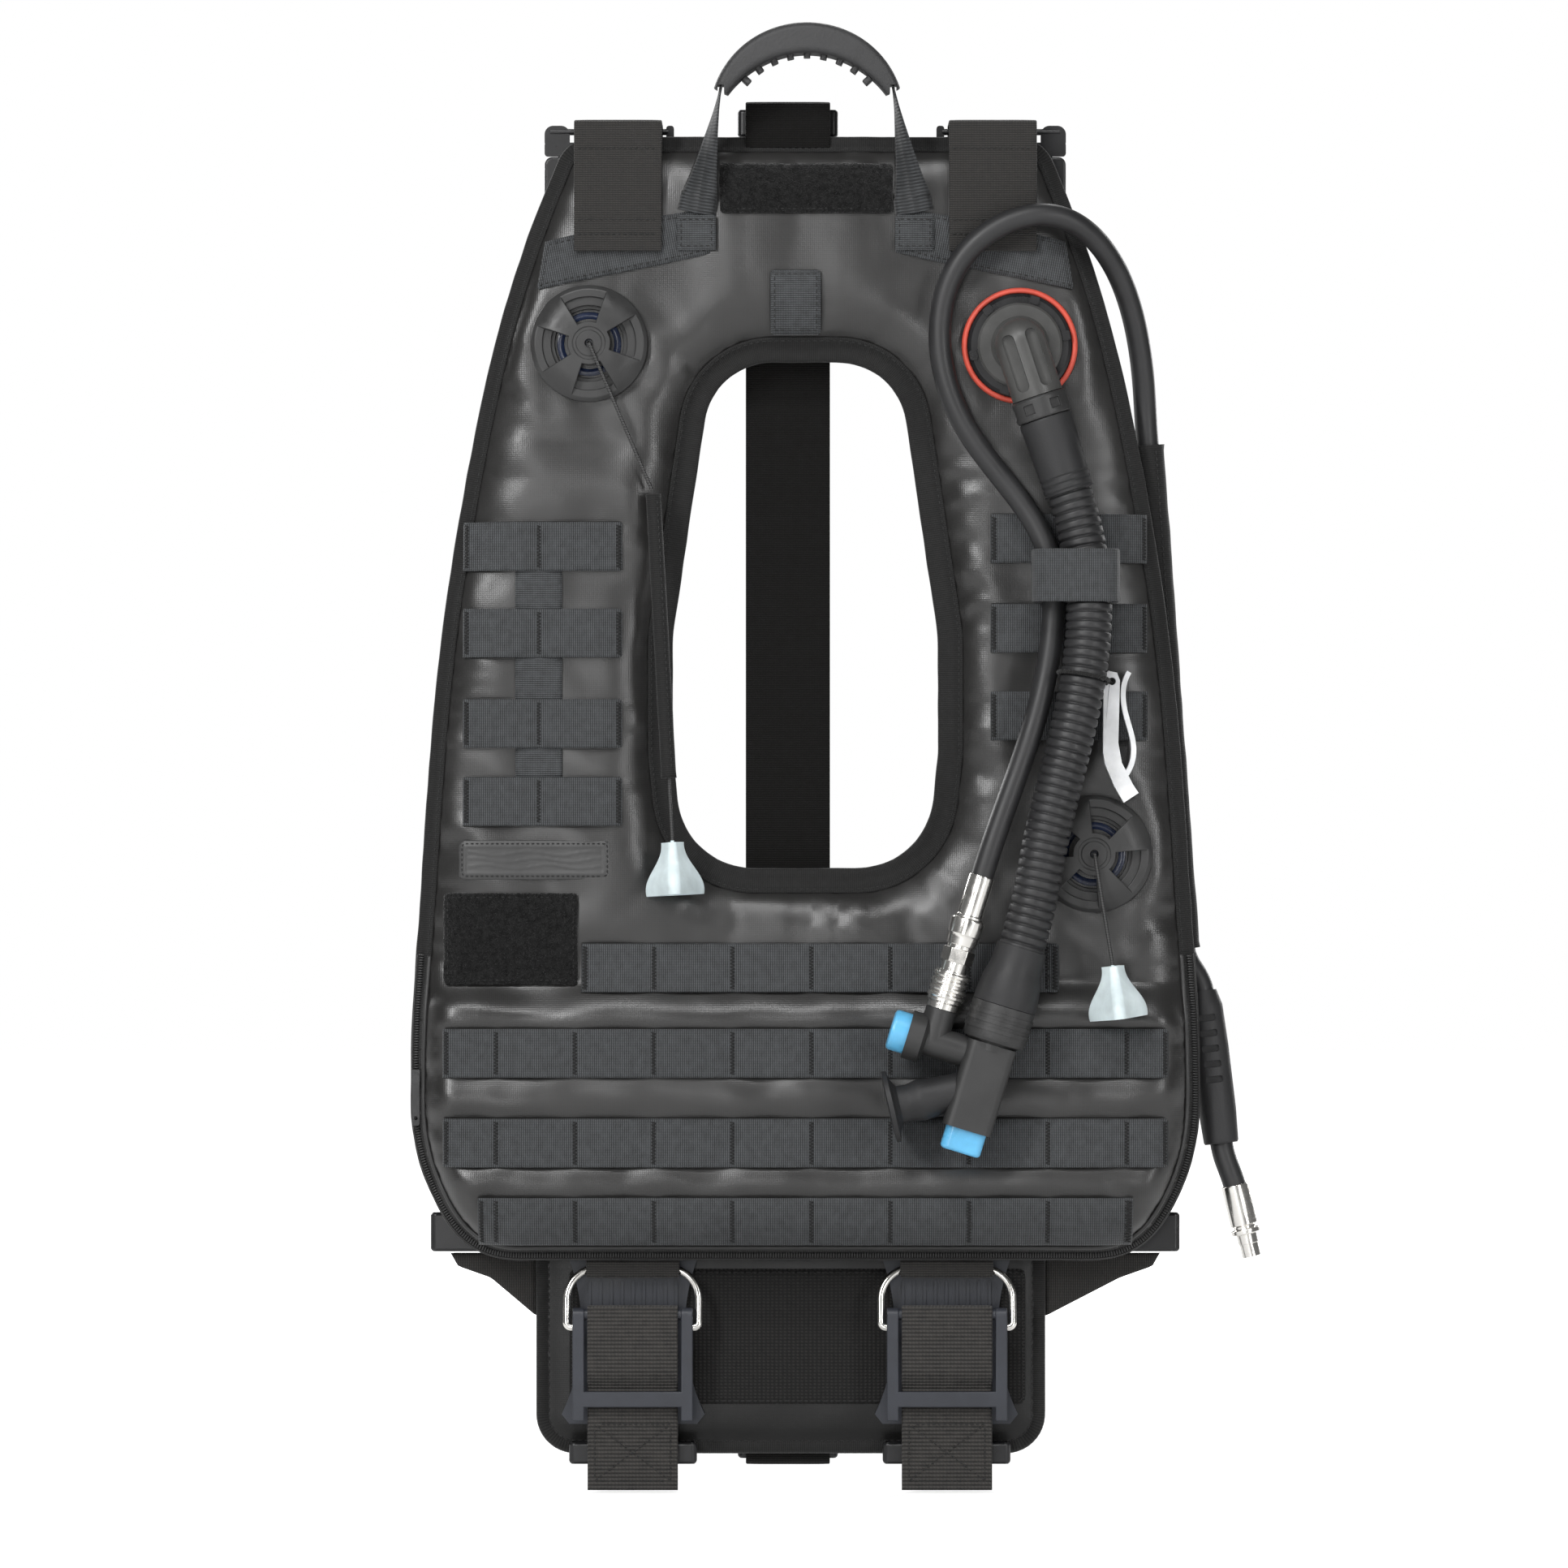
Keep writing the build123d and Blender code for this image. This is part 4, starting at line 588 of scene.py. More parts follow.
def with_cord(name, colour, rough, cord_share):
    """Moulded piece whose cord is grey braid; cord_share(graph, x, y, z) is 1 on the cord."""
    g = moulded_plastic(name, colour, rough, 900, 0.03)
    place = g.axes(g.coords.outputs["Object"])
    cord = cord_share(g, *place)
    braid = g.wave(place[2], 1.3 * mm)
    grey = g.mix(braid, tone(0.012), tone(0.05))
    solid = g.shader.inputs["Base Color"].links[0].from_socket
    g.set("Base Color", g.mix(cord, solid, grey))
    return g, cord


black_plastic = moulded_plastic("black_plastic", (0.012, 0.012, 0.013), 0.3).material
satin_plastic = moulded_plastic("satin_plastic", (0.03, 0.03, 0.03), 0.42, 900, 0.05).material
grey_plastic = moulded_plastic("grey_plastic", (0.03, 0.033, 0.042), 0.42, 900, 0.05).material
grip_rubber = moulded_plastic("grip_rubber", (0.034, 0.034, 0.035), 0.55, 700, 0.25).material
hose_rubber = moulded_plastic("hose_rubber", (0.02, 0.02, 0.021), 0.46, 1200, 0.04).material
dark_rubber = moulded_plastic("boot_rubber", (0.017, 0.017, 0.018), 0.55, 900, 0.08).material
patch_rubber = moulded_plastic("patch_rubber", (0.048, 0.048, 0.048), 0.45, 900, 0.06).material
red_rubber = moulded_plastic("red_rubber", (0.6, 0.08, 0.05), 0.5, 900, 0.05).material
elbow_plastic = moulded_plastic("elbow_plastic", (0.062, 0.062, 0.06), 0.36, 900, 0.04).material
blue_plastic = moulded_plastic("blue_plastic", (0.12, 0.45, 0.74), 0.28, 1200, 0.015,
                               coat=0.3).material
white_nylon = pale_rubber("white_nylon", (0.78, 0.79, 0.8), 0.38, 1.0 * mm)
valve_cover_boxes = {"upper": box_of(islands("dump_valve_covers")[0][0]),
                     "lower": box_of(islands("dump_valve_covers")[1][0])}
stem_parts = {}


def outside_valve(low, high):
    """Cord of a dump valve's disc: in front of the cover or beyond the seal's rim."""
    middle = (low + high) / 2

    def share(g, x, y, z):
        across, up = g.math("SUBTRACT", x, middle.x), g.math("SUBTRACT", z, middle.z)
        away = g.math("SQRT", g.add(g.times(across, across), g.times(up, up)))
        return g.math("MAXIMUM", g.math("LESS_THAN", y, low.y),
                      g.math("GREATER_THAN", away, 19 * mm))
    return share


def above_toggle(limit):
    return lambda g, x, y, z: g.math("GREATER_THAN", z, limit)


for side in ("upper", "lower"):
    made, cord = with_cord(f"seal_and_cord_{side}", (0.01, 0.018, 0.05), 0.22,
                           outside_valve(*valve_cover_boxes[side]))
    stem_parts[f"dump_disc_{side}"] = made.material
    toggle_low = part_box(f"pull_toggle_{side}")[0]
    made, cord = with_cord(f"toggle_and_cord_{side}", (0.7, 0.8, 0.82), 0.42,
                           above_toggle(toggle_low.z + 29 * mm))
    made.set("Subsurface Weight", made.math("MULTIPLY_ADD", cord, -0.35, 0.35))
    made.shader.inputs["Subsurface Radius"].default_value = (1.5 * mm, 1.5 * mm, 1.7 * mm)
    stem_parts[f"pull_toggle_{side}"] = made.material

bright_steel = metal("bright_steel", (0.88, 0.86, 0.82), 0.2, 0.6)
nickel = metal("nickel", (0.93, 0.91, 0.87), 0.2, 0.3)
spring_steel = metal("spring_steel", (0.5, 0.5, 0.5), 0.25, 0.3)


# ============================================================ inflated body of the vest
ring_parts = islands("edge_bindings")
ring_parts.sort(key=lambda part: -np.ptp(part[0][:, 0]) * np.ptp(part[0][:, 2]))
vest_ring = ring_parts[0]
neck_ring = max(ring_parts[1:], key=lambda part: box_of(part[0])[1].z)
pad_ring = min(ring_parts[1:], key=lambda part: box_of(part[0])[1].z)
vest_edge = front_loops(vest_ring)[0]
neck_edge = front_loops(neck_ring)[1]
pad_edge, pad_seam = front_loops(pad_ring)[:2]
shell_low, shell_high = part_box("front_shell")
half_depth = -shell_low.y
pocket_depth = -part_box("pocket_cover")[0].y - half_depth
strap_boxes = [box_of(points) for points, unused in islands("shoulder_straps")]
row_boxes = [box_of(points) for points, unused in islands("molle_rows_lower")]
row_boxes.sort(key=lambda box: -box[0].z)
row_zs = [(low.z + high.z) / 2 for low, high in row_boxes]
row_height = row_boxes[0][1].z - row_boxes[0][0].z
valve_boxes = {**valve_cover_boxes, "elbow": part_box("elbow_gasket")}
valve_places = [((low.x + high.x) / 2, (low.z + high.z) / 2) for low, high in valve_boxes.values()]
valve_radius = (valve_boxes["upper"][1].x - valve_boxes["upper"][0].x) / 2


def loop_distance(points, loop):
    """Distance of each (x, z) point from a loop, and the place of the nearest loop corner."""
    nearest = np.full(len(points), 1e9)
    place = np.zeros(len(points))
    step = np.linalg.norm(loop[1] - loop[0])
    for start in range(0, len(points), 2000):
        block = points[start:start + 2000]
        gaps = np.linalg.norm(block[:, None] - loop[None], axis=2)
        nearest[start:start + 2000] = gaps.min(axis=1)
        place[start:start + 2000] = gaps.argmin(axis=1) * step
    return nearest, place


def ease(values, start, end):
    """Smooth step from 0 at start to 1 at end."""
    share = np.clip((np.asarray(values, float) - start) / (end - start), 0, 1)
    return share * share * (3 - 2 * share)


def dome(distance, start, reach):
    """Quarter ellipse: 0 at start, 1 from start + reach on."""
    share = np.clip((distance - start) / reach, 0, 1)
    return np.sqrt(1 - (1 - share) ** 2)


def ripple(places, pitch, seed):
    """Repeatable rough ripple, -1 to 1, along places in metres."""
    return np.array([noise.noise(Vector((place / pitch, seed, 0.37))) * 1.7 for place in places])


def inside_of(points, loop):
    """True for each (x, z) point inside a closed loop."""
    x, z = points[:, 0], points[:, 1]
    crossings = np.zeros(len(points), int)
    for (ax, az), (bx, bz) in zip(loop, np.roll(loop, -1, axis=0)):
        spans = (az > z) != (bz > z)
        reach = ax + (z - az) / (bz - az if bz != az else 1e-9) * (bx - ax)
        crossings += spans & (x < reach)
    return crossings % 2 == 1


cell = 4.6 * mm                     # size of the body's triangles
edge_seam = 5 * mm                  # bound rim that isn't puffed, at the outer edge
neck_seam_width = 10 * mm           # and round the neck opening
swell_depth = 3.6 * mm              # cloth standing out between the webbing rows
gather_depth = 2.1 * mm             # folds that run in from the bound edges
slack_depth = 3.2 * mm              # broad dents in the chest and the pocket
outer_loop = evenly(vest_edge, cell, closed=True)
inner_loop = evenly(neck_edge, cell, closed=True)


def flat_pattern():
    """Points and triangles of the vest's flat outline with the neck opening cut out."""
    low, high = outer_loop.min(axis=0), outer_loop.max(axis=0)
    lattice = []
    row_step = cell * math.sqrt(3) / 2
    for row in range(int((high[1] - low[1]) / row_step) + 2):
        shift = cell / 2 if row % 2 else 0
        for column in range(int((high[0] - low[0]) / cell) + 2):
            lattice.append((low[0] + shift + column * cell, low[1] + row * row_step))
    lattice = np.array(lattice)
    outer = [Vector(p) for p in outer_loop]
    inner = [Vector(p) for p in inner_loop]
    keep = inside_of(lattice, outer_loop) & ~inside_of(lattice, inner_loop)
    lattice = lattice[keep]
    clear = (loop_distance(lattice, outer_loop)[0] > cell * 0.55) & (
        loop_distance(lattice, inner_loop)[0] > cell * 0.55)
    lattice = lattice[clear]
    points = outer + inner + [Vector(p) for p in lattice]
    first = len(outer)
    edges = [(i, (i + 1) % first) for i in range(first)]
    edges += [(first + i, first + (i + 1) % len(inner)) for i in range(len(inner))]
    flat, unused, triangles, *rest = delaunay_2d_cdt(points, edges, [], 0, 1e-7)
    flat = np.array([tuple(p) for p in flat])
    triangles = np.array([tuple(t) for t in triangles])
    middles = flat[triangles].mean(axis=1)
    triangles = triangles[inside_of(middles, outer_loop) & ~inside_of(middles, inner_loop)]
    return flat, triangles


def behind_straps(x, z):
    """1 where the cloth lies behind a shoulder strap or its tab, fading to 0 beside it."""
    covered = np.zeros(len(x))
    for low, high in strap_boxes:
        beside = np.maximum(np.maximum(low.x - x, x - high.x), low.z - 12 * mm - z)
        covered = np.maximum(covered, 1 - ease(beside, 2 * mm, 12 * mm))
    return covered


def body_depths(flat):
    """Front and back depth of the vest at flat (x, z) points before it is inflated."""
    from_edge, edge_place = loop_distance(flat, outer_loop)
    from_neck, neck_place = loop_distance(flat, inner_loop)
    x, z = flat[:, 0], flat[:, 1]
    rise = np.minimum(dome(from_edge, edge_seam, 30 * mm),
                      dome(from_neck, neck_seam_width, 26 * mm))
    base = 1.3 * mm * ease(np.minimum(from_edge, from_neck), 0, 2 * mm)
    body = base + (half_depth - 2.5 * mm) * rise
    in_pocket = 1 - ease(z, row_zs[1] + 16 * mm, row_zs[0] - 4 * mm)
    steep = dome(from_edge, edge_seam, 17 * mm)
    pocket = base + (half_depth + pocket_depth - 4 * mm) * steep
    front = body + (np.maximum(pocket, body) - body) * in_pocket
    # Cloth swells between the webbing rows and is held down behind them.
    for upper, lower in zip(row_zs, row_zs[1:]):
        middle, half_gap = (upper + lower) / 2, (upper - lower - row_height) / 2 + 5 * mm
        swell = np.cos(np.clip((z - middle) / half_gap, -1, 1) * math.pi / 2)
        front += swell_depth * swell * dome(from_edge, 12 * mm, 30 * mm)
    # Small gathers that run in from the bound edges.
    for distance, place, start, seed in ((from_edge, edge_place, edge_seam, 1.5),
                                         (from_neck, neck_place, neck_seam_width, 4.5)):
        fade = ease(distance, start - 2 * mm, start + 6 * mm)
        fade *= np.exp(-(distance - start) / (20 * mm))
        gathers = ripple(place, 15 * mm, seed) + 0.6 * ripple(place, 6 * mm, seed + 9)
        front += gather_depth * gathers * fade
        body += 1.5 * mm * ripple(place, 17 * mm, seed + 5) * fade
    # Broad slack dents in the chest and the pocket, deeper away from the seams.
    slack = np.array([noise.noise(Vector((px * 17, pz * 13, 8.1)))
                      + 0.5 * noise.noise(Vector((px * 38, pz * 30, 2.6))) for px, pz in flat])
    slack *= ease(shell_high.z - z, 60 * mm, 110 * mm)
    front += slack_depth * slack * ease(np.minimum(from_edge, from_neck), 6 * mm, 30 * mm)
    # Held down behind the shoulder straps.
    front += np.minimum(half_depth - 1.0 * mm - front, 0) * behind_straps(x, z)
    back = body
    # A shallow dish round each valve and the elbow, with creases that run out from it.
    for centre_x, centre_z in valve_places:
        away = np.hypot(x - centre_x, z - centre_z)
        dish = 1 - ease(away, valve_radius - 1 * mm, valve_radius + 22 * mm)
        dish *= ease(from_edge, 3 * mm, 14 * mm)
        front = front + (half_depth - 0.6 * mm - front) * dish
        near = ease(away, valve_radius, valve_radius + 4 * mm) * np.exp(
            -np.maximum(away - valve_radius, 0) / (14 * mm))
        around = np.arctan2(z - centre_z, x - centre_x)
        rays = np.array([noise.noise(Vector((math.cos(a) * 2.6, math.sin(a) * 2.6, centre_x * 9)))
                         for a in around])
        front = front + 1.9 * mm * rays * near
    return front, back, from_edge, from_neck


flat, triangles = flat_pattern()
front_depth, back_depth, from_edge, from_neck = body_depths(flat)
on_rim = np.zeros(len(flat), bool)
on_rim[:len(outer_loop) + len(inner_loop)] = True


def body_mesh():
    """Closed mesh of the front and back cloth, joined at the rims."""
    points = [(x, -d, z) for (x, z), d in zip(flat, front_depth)]
    back_index = np.arange(len(flat))
    for i, ((x, z), d) in enumerate(zip(flat, back_depth)):
        if not on_rim[i]:
            back_index[i] = len(points)
            points.append((x, d, z))
    faces = [tuple(int(i) for i in t) for t in triangles]
    faces += [tuple(int(back_index[i]) for i in t[::-1]) for t in triangles]
    mesh = bpy.data.meshes.new("vest_body")
    mesh.from_pydata(points, [], faces)
    work = bmesh.new()
    work.from_mesh(mesh)
    bmesh.ops.recalc_face_normals(work, faces=work.faces)
    work.to_mesh(mesh)
    work.free()
    return mesh, back_index


def hold_weights(count, back_index):
    """Where the cloth is sewn down: 1 is held still, 0 is free."""
    x, z = flat[:, 0], flat[:, 1]
    held = np.maximum(1 - ease(from_edge, 6 * mm, 12 * mm), 1 - ease(from_neck, 11 * mm, 16 * mm))
    for centre_x, centre_z in valve_places:
        away = np.hypot(x - centre_x, z - centre_z)
        held = np.maximum(held, 1 - ease(away, valve_radius, valve_radius + 5 * mm))
    front_held = held.copy()
    for low, high in row_boxes:
        middle = (low.z + high.z) / 2
        in_row = (np.abs(z - middle) < 10 * mm) & (x > low.x) & (x < high.x)
        front_held = np.where(in_row, np.maximum(front_held, 0.9), front_held)
    for points, unused in islands("molle_strips_side"):
        low, high = box_of(points)
        covered = (x > low.x) & (x < high.x) & (z > low.z) & (z < high.z)
        front_held = np.where(covered, np.maximum(front_held, 0.7), front_held)
    front_held = np.maximum(front_held, 0.9 * behind_straps(x, z))
    weights = np.zeros(count)
    weights[back_index] = held
    weights[:len(flat)] = front_held
    return weights


def inflate(mesh, weights, frames=18, pressure=4.0, growth=0.022):
    """Cloth simulation of the held cloth under air pressure; returns the new corner points."""
    dummy = bpy.data.objects.new("inflating", mesh.copy())
    bpy.context.scene.collection.objects.link(dummy)
    group = dummy.vertex_groups.new(name="held")
    for i, weight in enumerate(weights):
        if weight > 0.01:
            group.add([i], float(weight), "REPLACE")
    modifier = dummy.modifiers.new("cloth", "CLOTH")
    settings = modifier.settings
    values = {"quality": 7, "mass": 0.22, "tension_stiffness": 14, "compression_stiffness": 14,
              "shear_stiffness": 5, "bending_stiffness": 0.12, "air_damping": 2.5,
              "use_pressure": True, "uniform_pressure_force": pressure,
              "vertex_group_mass": "held", "pin_stiffness": 20, "shrink_min": -growth}
    for key, value in values.items():
        setattr(settings, key, value)
    settings.effector_weights.gravity = 0
    modifier.collision_settings.use_collision = False
    scene = bpy.context.scene
    for frame_number in range(1, frames + 1):
        scene.frame_set(frame_number)
    settled = dummy.evaluated_get(bpy.context.evaluated_depsgraph_get()).to_mesh()
    points = np.zeros(len(settled.vertices) * 3)
    settled.vertices.foreach_get("co", points)
    bpy.data.objects.remove(dummy)
    scene.frame_set(1)
    return points.reshape(-1, 3)


mesh, back_index = body_mesh()
rest = np.array([tuple(v.co) for v in mesh.vertices])
weights = hold_weights(len(rest), back_index)
freedom = (1 - weights ** 4)[:, None]
moved = (inflate(mesh, weights) - rest) * freedom
links = np.array([tuple(edge.vertices) for edge in mesh.edges])
for k in range(3):
    total, count = moved.copy(), np.ones(len(moved))
    for start, end in ((0, 1), (1, 0)):
        np.add.at(total, links[:, start], moved[links[:, end]])
        np.add.at(count, links[:, start], 1)
    moved = total / count[:, None]
reach = np.where(rest[:, 1] < 0, 5.0 * mm, 1.6 * mm)
length = np.maximum(np.linalg.norm(moved, axis=1), 1e-9)
moved *= (reach * np.tanh(length / reach) / length)[:, None] * freedom
rest = rest + moved
mesh.vertices.foreach_set("co", rest.ravel())
for polygon in mesh.polygons:
    polygon.use_smooth = True
body = finish_mesh("vest_body", mesh, cloth["coated"],
                   ("front_shell", "back_shell", "air_bladder", "pocket_cover"), "vest")
subdivide = body.modifiers.new("smooth", "SUBSURF")
subdivide.levels = subdivide.render_levels = 1
bpy.context.view_layer.update()
fine = bpy.data.meshes.new_from_object(body.evaluated_get(bpy.context.evaluated_depsgraph_get()))
body.modifiers.clear()
body.data = fine
fine.name = "vest_body_mesh"
for polygon in fine.polygons:
    polygon.use_smooth = True
body_tree = BVHTree.FromObject(body, bpy.context.evaluated_depsgraph_get())


def skin(x, z, side=-1, missing=2 * mm):
    """Y of the body's surface at (x, z): side -1 is the front and 1 the back."""
    hit = body_tree.ray_cast(Vector((x, side * 0.3, z)), Vector((0, -side, 0)))[0]
    return hit.y if hit else side * missing


# ============================================================ sheets, tapes and tubes on the body
def inward_normals(line):
    """Unit (x, z) normals of a closed line, pointing into the area it encloses."""
    tangent = unit(np.roll(line, -1, axis=0) - np.roll(line, 1, axis=0))
    normal = np.stack([-tangent[:, 1], tangent[:, 0]], axis=1)
    following = np.roll(line, -1, axis=0)
    turning = (line[:, 0] * following[:, 1] - following[:, 0] * line[:, 1]).sum()
    return normal if turning > 0 else -normal


def inset_line(line, distance):
    """Closed line moved inwards by a distance."""
    return line + inward_normals(line) * distance


def rectangle(low, high, corner=0.0):
    """(x, z) outline of a box, with rounded corners if corner is above 0."""
    if corner <= 0:
        return np.array([(low.x, low.z), (high.x, low.z), (high.x, high.z), (low.x, high.z)])
    left, right, bottom, top = low.x + corner, high.x - corner, low.z + corner, high.z - corner
    points = []
    for cx, cz, start in ((right, bottom, -90), (right, top, 0), (left, top, 90),
                          (left, bottom, 180)):
        for k in range(5):
            turn = math.radians(start + k * 22.5)
            points.append((cx + corner * math.cos(turn), cz + corner * math.sin(turn)))
    return np.array(points)


def level_at(y):
    """Depth function of a flat sheet."""
    return lambda points: np.full(len(points), y)


def on_skin(lift):
    """Depth function of a sheet that lies on the front of the body, lift outside it."""
    return lambda points: np.array([skin(x, z) for x, z in points]) - lift


def sheet(outline, cell_size, thickness, front_y, along=(1, 0), soft=0.35):
    """Closed sheet with this (x, z) outline whose front follows front_y(points)."""
    rim = evenly(outline, cell_size, closed=True)
    low, high = rim.min(axis=0), rim.max(axis=0)
    half = cell_size / 2
    xs = np.arange(low[0] + half, high[0], cell_size)
    zs = np.arange(low[1] + half, high[1], cell_size)
    grid = np.array([(x + (half if k % 2 else 0), z) for k, z in enumerate(zs) for x in xs])
    grid = grid[inside_of(grid, rim)] if len(grid) else grid.reshape(0, 2)
    if len(grid):
        grid = grid[loop_distance(grid, rim)[0] > half]
    points = [Vector(p) for p in rim] + [Vector(p) for p in grid]
    edges = [(i, (i + 1) % len(rim)) for i in range(len(rim))]
    flat_points, unused, found, *rest = delaunay_2d_cdt(points, edges, [], 0, 1e-7)
    flat_points = np.array([tuple(p) for p in flat_points])
    found = np.array([tuple(t) for t in found])
    found = found[inside_of(flat_points[found].mean(axis=1), rim)]
    depth = np.array(front_y(flat_points), float)
    distance = loop_distance(flat_points, rim)[0]
    distance[:len(rim)] = 0
    squeeze = thickness * soft * (1 - ease(distance, 0, thickness * 0.9))
    front = np.stack([flat_points[:, 0], depth + squeeze, flat_points[:, 1]], axis=1)
    back = np.stack([flat_points[:, 0], depth + thickness - squeeze, flat_points[:, 1]], axis=1)
    count = len(flat_points)
    ux, uz = along[0] / math.hypot(*along), along[1] / math.hypot(*along)
    s = flat_points @ np.array([ux, uz])
    t = flat_points @ np.array([-uz, ux])
    faces, uvs = [], []
    for a, b, c in found:
        faces += [(a, b, c), (c + count, b + count, a + count)]
        corner = [(s[i], t[i]) for i in (a, b, c)]
        uvs += [corner, corner[::-1]]
    for i in range(len(rim)):
        n = (i + 1) % len(rim)
        faces.append((n, i, i + count, n + count))
        uvs.append([(s[n], t[n]), (s[i], t[i]), (s[i], t[i]), (s[n], t[n])])
    return np.vstack([front, back]), faces, uvs


threads = Threads()
tacks = Threads()


def bound_edge(name, edge, width, stitch_inset, outside):
    """Tape folded over a rim of the vest; outside is 1 for the outer rim and -1 for the neck."""
    line = evenly(edge, 3 * mm, closed=True)
    normal = inward_normals(line) * outside
    columns = []
    offsets = np.linspace(width, 1.2 * mm, 7)
    for side in (-1, 1):
        heights = []
        for offset in offsets:
            spot = line + normal * offset
            y = np.array([skin(x, z, side, 1.6 * mm) for x, z in spot]) + side * tape_thick
            y = side * np.maximum(side * y, tape_half)
            wrapped = np.concatenate([y[-2:], y, y[:2]])
            heights.append(np.convolve(wrapped, np.ones(5) / 5, mode="valid"))
        columns.append(heights)
    wobble = np.array([0.25 * mm * noise.noise(Vector((k * 0.21, outside, 3.3)))
                       for k in range(len(line))])
    fold = ((0.1, -1.7), (-0.5, -0.9), (-0.7, 0), (-0.5, 0.9), (0.1, 1.7))
    rings = []
    for k in range(len(line)):
        section = [(offset, y[k]) for offset, y in zip(offsets, columns[0])]
        section += [(offset * mm + wobble[k], y * mm) for offset, y in fold]
        section += [(offset, y[k]) for offset, y in zip(offsets[::-1], columns[1][::-1])]
        ring = []
        for offset, y in section:
            x, z = line[k] + normal[k] * offset
            ring.append((x, y, z))
        rings.append(ring)
    build(name, [ringed(np.array(rings), True)], cloth["binding"], ("edge_bindings",))
    for side, heights in ((-1, columns[0]), (1, columns[1])):
        seam = line + normal * stitch_inset
        y = np.array([np.interp(stitch_inset, offsets[::-1], [h[k] for h in heights[::-1]])
                      for k in range(len(line))])
        path = np.stack([seam[:, 0], y + side * 0.15 * mm, seam[:, 1]], axis=1)
        threads.run(path, (0, side, 0), closed=True)


bound_edge("vest_binding", vest_edge, 7.5 * mm, 5.6 * mm, 1)
bound_edge("neck_binding", neck_edge, 12 * mm, 10.2 * mm, -1)

tack_pitch = 40.4 * mm
tack_phase = 3 * mm


def bar_tack(x, z, half_height, front_y):
    """Dense zigzag of short stitches across a webbing row."""
    count = int(2 * half_height / (0.85 * mm))
    for k in range(count):
        level = z - half_height + (k + 0.5) * 2 * half_height / count
        y = front_y(x, level)
        slant = 0.35 * mm if k % 2 else -0.35 * mm
        tacks.stitch((x - 1.5 * mm, y, level - slant), (x + 1.5 * mm, y, level + slant),
                     front_out, 0.42 * mm)


def webbing_row(box, tack_xs, lift):
    """Level webbing sewn to the body at its tacks and standing off between them."""
    low, high = box
    middle, half = (low.z + high.z) / 2, (high.z - low.z) / 2
    xs = np.arange(low.x, high.x + 1 * mm, 2 * mm)
    edges = []
    for level in (low.z + 1 * mm, middle, high.z - 1 * mm):
        raw = np.array([skin(x, level) for x in xs])
        soft = smoothed(raw, 7)
        edges.append(soft - np.maximum(soft - raw, 0))
    stops = sorted([low.x] + list(tack_xs) + [high.x])

    def front_y(points):
        x, z = points[:, 0], points[:, 1]
        share = np.clip((z - low.z) / (high.z - low.z), 0, 1)
        at_low, at_middle, at_high = (np.interp(x, xs, e) for e in edges)
        chord = at_low + (at_high - at_low) * share
        y = np.minimum(chord, chord + (at_middle - (at_low + at_high) / 2)
                       * 4 * share * (1 - share))
        bulge = np.zeros(len(x))
        for start, end in zip(stops, stops[1:]):
            inside = (x >= start) & (x <= end)
            u = (x[inside] - start) / max(end - start, 1e-6)
            bulge[inside] = np.sin(math.pi * u) ** 0.75
        uneven = np.array([noise.noise(Vector((px * 30, pz * 50, middle * 40)))
                           for px, pz in points]) * 0.35 * mm
        return y - webbing_thick - 0.25 * mm - lift * bulge + uneven

    shape = sheet(rectangle(low, high), 2.3 * mm, webbing_thick, front_y, soft=0.2)

    def tack_y(x, z):
        return front_y(np.array([(x, z)]))[0] - 0.02 * mm

    for x in tack_xs:
        if low.x + 3 * mm < x < high.x - 3 * mm:
            bar_tack(x, middle, half - 1.6 * mm, tack_y)
    return shape, tack_y


row_shapes = []
for index, (low, high) in enumerate(row_boxes):
    first = math.ceil((low.x - tack_phase) / tack_pitch)
    last = math.floor((high.x - tack_phase) / tack_pitch)
    tack_xs = [tack_phase + k * tack_pitch for k in range(first, last + 1)]
    shape, tack_y = webbing_row((low, high), tack_xs, 1.3 * mm)
    row_shapes.append(shape)
    for end in (low.x + 2 * mm, high.x - 2 * mm):
        bar_tack(end, (low.z + high.z) / 2, row_height / 2 - 1.5 * mm, tack_y)
build("webbing_rows", row_shapes, cloth["molle"], ("molle_rows_lower",))

# Chest strips: level ones with a tack in the middle, over one upright strap on the left.
strip_shapes = []
strip_boxes = [box_of(points) for points, unused in islands("molle_strips_side")]
for low, high in strip_boxes:
    if high.x - low.x < high.z - low.z:
        strip_shapes.append(sheet(rectangle(low, high), 2.5 * mm, 1.3 * mm, on_skin(1.5 * mm),
                                  along=upright))
for low, high in strip_boxes:
    if high.x - low.x > high.z - low.z:
        middle = (low.x + high.x) / 2 - 2 * mm
        shape, tack_y = webbing_row((low, high), [middle], 2.6 * mm)
        strip_shapes.append(shape)
        for end in (low.x + 2 * mm, high.x - 2 * mm):
            bar_tack(end, (low.z + high.z) / 2, (high.z - low.z) / 2 - 1.5 * mm, tack_y)
build("chest_webbing", strip_shapes, cloth["molle"], ("molle_strips_side",))


# ============================================================ patches and sewn tabs
def pile_y(points):
    """Loop pile stands up unevenly from its backing."""
    base = on_skin(1.3 * mm)(points)
    tufts = np.array([noise.noise(Vector((x * 900, z * 900, 1.0)))
                      + 0.6 * noise.noise(Vector((x * 260, z * 260, 5.0))) for x, z in points])
    return base - 0.7 * mm * (1 + tufts)


